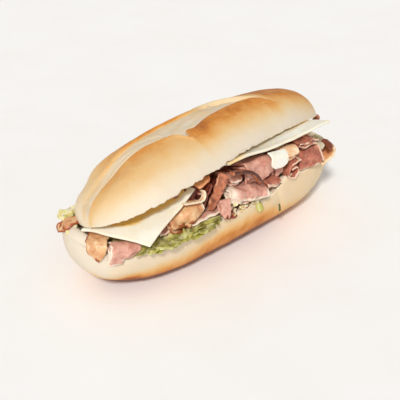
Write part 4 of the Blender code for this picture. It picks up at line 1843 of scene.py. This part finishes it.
SLICES = (
    # Two slices lie flat on the lettuce and run through to the back.
    Slice("beef_layer", BEEF, (-33, -30, 42.1), (BACK, -1.6), (LEFT, 0), 60, ((63, 0),), wave=0.3,
          waves=5, thickness=1.5, pitch=0.9),
    Slice("ham_layer", HAM_SHADED, (35, -29, 42.1), (BACK, -1.8), (LEFT, 0), 60, ((58, 0),), wave=0.3,
          waves=5, thickness=1.5, pitch=0.9, fat=Rim(1.0, 1.0, 1.0)),
    # The left end: a slice and a tuft of lettuce at the heel's tip, and two slices over its rim.
    Slice("turkey_end", TURKEY, (-86, 5, 42.6), (LEFT, 9), (BACK, 0), 8, ((15.5, -5), (10, 72)),
          tip=4, wave=0.4, ruffle=0.7, plies=2, ply_gap=1.5, browned=Rim(1.4, 1.8, 1.0)),
    Slice("lettuce_tuft", LEAF_PALE, (-86.5, 16.4, 43.6), (194, 12), (104, 0), 8,
          ((10, -2), (6, 30), (2, 0)), tip=4, wave=1.0, thickness=0.9, uneven=1.4, ruffle=1.3,
          rib=0.9, plies=2, ply_gap=1.4),
    Slice("turkey_tongue", TURKEY, (-91.4, -9.8, 43.8), (-134, 2), (-44, 0), 12.5,
          ((15, 6), (7, -98), (9, -3)), tip=11, slant=-0.14, sharp=0.75, ruffle=0.6,
          browned=Rim(0.7, 0.5, 0)),
    Slice("ham_drape", HAM, (-88.5, -28.6, 42.8), (-116, 5), (-26, -4), 18.2,
          ((3, 4), (8, -112), (6, 6)), tip=2, slant=0.5, wave=0.4, plies=2, fat=Rim(0.4, 0.8, 0)),
    # Between the left cheese and the big ham fold.
    Slice("ham_sheet", HAM, (-62, -20, 44.2), (FRONT, -0.5), (RIGHT, 0), 16,
          ((12, 0), (5, -26), (2, 0)), wave=0.4, fat=Rim(1.4, 0, 0)),
    Slice("turkey_large", TURKEY, (-50, -14, 46.2), (FRONT, 14), (RIGHT, 3), 28,
          ((19, 0), (10, -98), (2.0, 8)), wave=1.5, tip=4, ruffle=1.3, plies=4, ply_gap=2.0, fan=0.9,
          browned=Rim(1.5, 0.3, 0), fat=Rim(0, 0, 1.8)),
    Slice("turkey_curl", TURKEY, (-52.5, -41.4, 58.2), (RIGHT, -14), (BACK, -14), 4.2,
          ((13, 0), (9, 150)), edge=True, thickness=1.2, uneven=0.2, ruffle=0.2,
          fat=Rim(0.5, 2.5, 2.5)),
    Slice("turkey_sliver", TURKEY_BROWN, (-39.4, -38.5, 62.4), (RIGHT, 14), (BACK, 6), 8, ((11, 0),),
          edge=True, tip=4, thickness=2.0, browned=Rim(0.6, 0, 0)),
    Slice("beef_strip_1", BEEF_SHADED, (-34.9, -38, 48.4), (RIGHT, 68), (BACK, -20), 14,
          ((8, -14), (6, 10)), edge=True, thickness=1.7),
    Slice("beef_strip_2", BEEF, (-20.4, -40, 66.0), (LEFT, -61), (126, 18), 6,
          ((12, 12), (12.5, -16)), tip=12, thickness=2.4, ruffle=0.8, wave=0.6, fat=Rim(0, 0, 0.5)),
    Slice("beef_strip_3", BEEF_SHADED, (-25, -37, 46), (RIGHT, 80), (BACK, -22), 15,
          ((8, -18), (8, -12)), edge=True, thickness=1.7),
    Slice("ham_low", HAM, (-34, -31.2, 42.0), (FRONT, -1), (RIGHT, -1), 26, ((10.6, 0),), wave=0.5,
          waves=3, ruffle=0.7, fat=Rim(1.8, 0.6, 0.6)),
    Slice("ham_tongue", HAM, (-22.2, -42.6, 50.0), (-104, -76), (-14, 18), 7, ((7, 0), (5, -8)),
          tip=6, plies=2, browned=Rim(1.2, 0, 0)),
    # The middle: frilled ham below an arch of beef and a large hanging fold.
    Slice("ham_frill", HAM, (-2, -20, 48.6), (FRONT, 2), (RIGHT, -17), 33,
          ((20, 0), (5, -90), (4, 0)), wave=1.0, waves=2.6, tip=3, ruffle=1.4, plies=2, ply_gap=2.2,
          fat=Rim(1.6, 7.5, 1.5)),
    Slice("beef_arch", BEEF, (-18, -45, 66.6), (RIGHT, -8), (BACK, -12), 4.5,
          ((12, -10), (8, -28), (10, -20)), edge=True, thickness=2.2, uneven=0.4, ruffle=0.3,
          browned=Rim(0, 0.5, 0.5)),
    Slice("ham_under", HAM, (-8, -24, 56.0), (FRONT, 4), (RIGHT, -10), 12, ((11, 0), (5, -60)), tip=3,
          plies=2, fat=Rim(0.8, 0, 0)),
    Slice("ham_big", HAM, (12, -22, 56.0), (FRONT, 22), (RIGHT, -3), 24, ((13, 0), (6, -112), (8, 0)),
          wave=0.8, plies=2, browned=Rim(1.2, 0, 0)),
    Slice("cheese_corner", CHEESE, (24, -38.5, 64.4), (FRONT, 0), (RIGHT, -8), 15,
          ((3, -30), (4, -55), (5.5, 0)), tip=4, ruffle=0.2, uneven=0.3),
    Slice("ham_mid", HAM, (27.4, -26, 53.0), (FRONT, 4), (RIGHT, 22), 7.6, ((7, 0), (6, -95), (6, 0)),
          tip=2, plies=2, fat=Rim(0.8, 0, 0)),
    Slice("beef_low", HAM_SHADED, (22, -20, 44.4), (FRONT, 1), (RIGHT, -4), 13, ((18, 0), (5, -70)),
          wave=0.6, plies=2, fat=Rim(1.0, 0, 0)),
    # The right end.
    Slice("turkey_brown", CREAM, (39, -28, 57.8), (FRONT, 20), (RIGHT, -6), 13,
          ((7, 0), (6, -105), (2.5, 0)), tip=2.5, plies=2, browned=Rim(0.8, 0, 0)),
    Slice("ham_roll", HAM_SHADED, (37.5, -42, 46.6), (RIGHT, 60), (BACK, 0), 12,
          ((6, -115), (9, -130), (11, -130), (11, -60)), edge=True, thickness=1.2, ruffle=0.3,
          fat=Rim(2.5, 0.5, 0.8)),
    Slice("ham_upper", HAM_SHADED, (55, -20, 57.2), (FRONT, 9), (RIGHT, -5), 18, ((20, 0),), wave=0.6,
          plies=3, ply_gap=1.6, fan=0.5, fat=Rim(0.5, 0, 0)),
    Slice("ham_fold", HAM_SHADED, (57.5, -24, 57.0), (FRONT, -18), (RIGHT, 5), 19,
          ((10, -8), (8, -48), (6, -8)), wave=1.8, waves=0.6, plies=3, fan=0.6, fat=Rim(0.8, 0, 1.8)),
    # The wide browned rims darken the inside of the loop: partly a browned edge, partly painted shade in
    # the curl.
    Slice("turkey_loop", TURKEY_BROWN, (68.5, -40, 38.4), (RIGHT, -8), (BACK, 20), 10,
          ((9, 60), (9, 85), (6, 50)), edge=True, thickness=1.8, fat=Rim(0, 1.6, 0),
          browned=Rim(4.0, 0, 3.0)),
    Slice("beef_end", BEEF, (88, -3.8, 42.4), (4, 12), (94, 0), 5, ((12, 0), (4, 45), (3, 0)), tip=3),
)

# The left cheese takes painted shadow from the crown behind this line, given as shares of its width and
# depth.
PAINTED_SHADOW_BACK = (
    (0.0, 1.1), (0.08, 0.8), (0.16, 0.5), (0.43, 0.27), (0.61, 0.15), (0.75, 0.08), (1.0, 0.05),
)

BITS = {
    "chopped_meat": (BEEF, Crumbs(
        24, patch=((-16, -41.0, 34.5), (4, -35.0, 39.5)), size=(1.4, 3.4), seed=11)),
    "red_bits": (BEEF_RED, Crumbs(
        3, patch=((-17, -42.0, 33.4), (-13, -41.2, 34.6)), size=(3.0, 4.6), seed=13, flatness=1.0)),
    "red_slivers": (BEEF_RED, Crumbs(
        9, patch=((2, -41.0, 39.0), (13, -38.5, 41.5)), size=(2.4, 4.2), seed=15)),
    "crumb_bits": (CHEESE, Crumbs(
        110, patch=((-15, -41.4, 34.2), (14, -35.0, 40.5)), size=(1.2, 3.2), seed=12)),
    "lettuce_end": (LEAF_PALE, Shred(
        (-104.6, 0.0, 44.6), angle=-2.4, climb=-0.5, length=10.0, width=6.0, curl=0.06, frill=0.9,
        seed=53)),
    "lettuce_flake": (LEAF, Shred(
        (9.0, -41.2, 31.6), angle=1.5, climb=1.15, length=7.0, width=5.0, curl=0.03, frill=0.6,
        seed=41)),
    "lettuce_bit": (LEAF_PALE, Shred(
        (-13.0, -41.6, 44.5), angle=1.2, climb=0.9, length=6.0, width=3.2, curl=0.03, frill=0.5,
        seed=43)),
    "herb_sliver": (HERB, Shred(
        (27.2, -41.6, 23.4), angle=1.6, climb=1.35, length=5.4, width=1.3, curl=0.02, frill=0.3,
        seed=47, bow=0.12)),
}


@dataclass(frozen=True)
class ShadeFill:
    """Dark slices folded and pushed in behind the front ones, which show in the gaps between them:
    painted shade for the shadow deep inside the filling.
    """

    crown: Crown
    finish: MeatFinish
    count: int
    seed: int
    first: float = -44.0
    last: float = 70.0
    start: float = -10.0
    low: float = 45.5
    high: float = 58.0
    clear: float = 8.0

    def shell(self) -> Shell:
        """All the folded slices.

        Returns:
            All of them as one mesh.
        """
        dice = np.random.default_rng(self.seed)
        folds = []
        for index in range(self.count):
            x = self.first + (self.last - self.first) * (index + dice.uniform(-0.4, 0.4)) / self.count
            roof = self.crown.underside(x, self.start - 14.0) - self.clear
            z = dice.uniform(self.low, max(47.0, min(self.high, roof)))
            folds.append(Slice(
                "", self.finish, (x, self.start, z),
                (FRONT + dice.uniform(-14, 14), dice.uniform(-2, 12)),
                (RIGHT + dice.uniform(-10, 10), dice.uniform(-24, 24)), dice.uniform(9, 17),
                ((dice.uniform(13, 19), 0), (5, dice.uniform(-130, -60)), (dice.uniform(3, 6), 10)),
                tip=2, wave=dice.uniform(0.4, 1.4), pitch=0.7, fat=Rim(0.8, 0, 0),
                seed=3000 + 9 * index + self.seed,
            ).shell())
        return Shell.joined(folds)


class Sandwich:
    """The whole sandwich, made from the roll outwards to its crumbs."""

    def __init__(self, effects: Effects) -> None:
        """Lays out the roll; the finishes are made when they are first used.

        Args:
            effects: the shared node groups.
        """
        self.effects = effects
        self.made: dict[str, bpy.types.Material] = {}
        self.heel = Heel()
        self.crown = Crown()

    def finish(self, look: CrustFinish | MeatFinish | CheeseFinish | LeafFinish) -> bpy.types.Material:
        """The material of a finish, made once.

        Args:
            look: the finish.

        Returns:
            Its material.
        """
        if look.name not in self.made:
            self.made[look.name] = look.material(self.effects)
        return self.made[look.name]

    def roll(self) -> None:
        """The two halves of the roll."""
        crust = self.finish(CrustFinish())
        serve(self.heel.shell().build("heel_bread", crust), Slot.CRUST, "heel")
        serve(self.crown.shell().build("crown_bread", crust), Slot.CRUST, "crown")

    def cheeses(self) -> None:
        """The two slices of cheese under the crown."""
        sheets = (
            Cheese("cheese_left", (-86, -49, 47.5), right=(48, 16, 10.6), back=(-17, 42, -1.5), wave=0.8,
                   crown=self.crown, seed=3, golden=PAINTED_SHADOW_BACK),
            Cheese("cheese_right", (-17, -40, 71), right=(95, 4, -2.7), back=(-3, 40, -16.5), wave=0.4,
                   crown=self.crown, seed=8, droop=3.2),
        )
        for sheet in sheets:
            thing = sheet.shell().build(f"{sheet.node}_slice", self.finish(CHEESE))
            serve(thing, Slot.CHEESE, sheet.node)

    def slices(self) -> None:
        """Every folded or draped slice."""
        for index, row in enumerate(SLICES):
            piece = replace(row, seed=40 * (index + 1))
            thing = piece.shell().build(f"{piece.node}_slice", self.finish(piece.finish))
            serve(thing, piece.finish.slot, piece.node)

    def lettuce(self) -> None:
        """The shredded lettuce on the heel."""
        heap = Lettuce(self.heel).shell()
        serve(heap.build("lettuce_shreds", self.finish(LEAF)), Slot.LETTUCE, "lettuce_bed")

    def tucked(self) -> None:
        """The dark slices that show in the gaps between the front ones: painted shade deep inside the
        filling.
        """
        heaps = {
            "shade_fill_beef": ShadeFill(self.crown, BEEF_SHADED, count=16, seed=21),
            "shade_fill_ham": ShadeFill(self.crown, HAM_SHADED, count=8, seed=34),
        }
        for name, heap in heaps.items():
            serve(heap.shell().build(name, self.finish(heap.finish)), heap.finish.slot)

    def bits(self) -> None:
        """Chopped meat and crumbs along the rim, three flakes of lettuce and a sliver of herb."""
        for name, (finish, bits) in BITS.items():
            serve(bits.shell().build(name, self.finish(finish)), finish.slot)


# ---------------------------------------------------------------------------------------------
# The stage
# ---------------------------------------------------------------------------------------------


@dataclass(frozen=True)
class Studio:
    """A pale floor, one soft key light, white light all round, and the camera."""

    floor_size: float = 4.0
    key_azimuth: float = -50.0
    key_elevation: float = 42.0
    key_strength: float = 2.25
    key_softness: float = 7.0
    fill_strength: float = 0.49
    azimuth: float = -42.035
    elevation: float = 31.5
    distance: float = 0.675666
    target: Point = (0.020889, 0.027705, 0.0)
    lens: float = 87.3
    sensor: float = 36.0

    @staticmethod
    def away(azimuth: float, elevation: float) -> Vector:
        """Direction from the object: azimuth 0 is -Y, and it turns towards +X."""
        a, e = math.radians(azimuth), math.radians(elevation)
        return Vector((math.sin(a) * math.cos(e), -math.cos(a) * math.cos(e), math.sin(e)))

    def floor(self, effects: Effects) -> None:
        """The floor, which isn't part of the object.

        Args:
            effects: the shared node groups.
        """
        mesh = bpy.data.meshes.new("floor")
        h = self.floor_size / 2
        mesh.from_pydata([(-h, -h, 0), (h, -h, 0), (h, h, 0), (-h, h, 0)], [], [(0, 1, 2, 3)])
        mesh.materials.append(FloorFinish().material(effects))
        thing = bpy.data.objects.new("floor", mesh)
        bpy.context.scene.collection.objects.link(thing)

    def lights(self) -> None:
        """The key light and the white fill."""
        key = bpy.data.lights.new("key", "SUN")
        key.energy = self.key_strength
        key.angle = math.radians(self.key_softness)
        lamp = bpy.data.objects.new("key", key)
        towards = self.away(self.key_azimuth, self.key_elevation)
        lamp.rotation_euler = towards.to_track_quat("Z", "Y").to_euler()
        bpy.context.scene.collection.objects.link(lamp)
        world = bpy.data.worlds.new("fill")
        world.use_nodes = True
        sky = world.node_tree.nodes["Background"]
        sky.inputs["Color"].default_value = (1.0, 1.0, 1.0, 1.0)
        sky.inputs["Strength"].default_value = self.fill_strength
        bpy.context.scene.world = world

    def camera(self) -> None:
        """The camera, from the front left and above."""
        data = bpy.data.cameras.new("camera")
        data.lens = self.lens
        data.sensor_width = self.sensor
        back = self.away(self.azimuth, self.elevation)
        thing = bpy.data.objects.new("camera", data)
        thing.location = Vector(self.target) + back * self.distance
        thing.rotation_euler = back.to_track_quat("Z", "Y").to_euler()
        bpy.context.scene.collection.objects.link(thing)
        bpy.context.scene.camera = thing


def main() -> None:
    """Builds the sandwich and its stage."""
    logging.basicConfig(level=logging.INFO, format="%(name)s %(message)s")
    bpy.context.scene.view_settings.view_transform = "Standard"
    effects = Effects()
    studio = Studio()
    studio.camera()
    studio.lights()
    studio.floor(effects)
    sandwich = Sandwich(effects)
    sandwich.roll()
    sandwich.cheeses()
    sandwich.lettuce()
    sandwich.slices()
    sandwich.tucked()
    sandwich.bits()


if __name__ == "__main__":
    main()
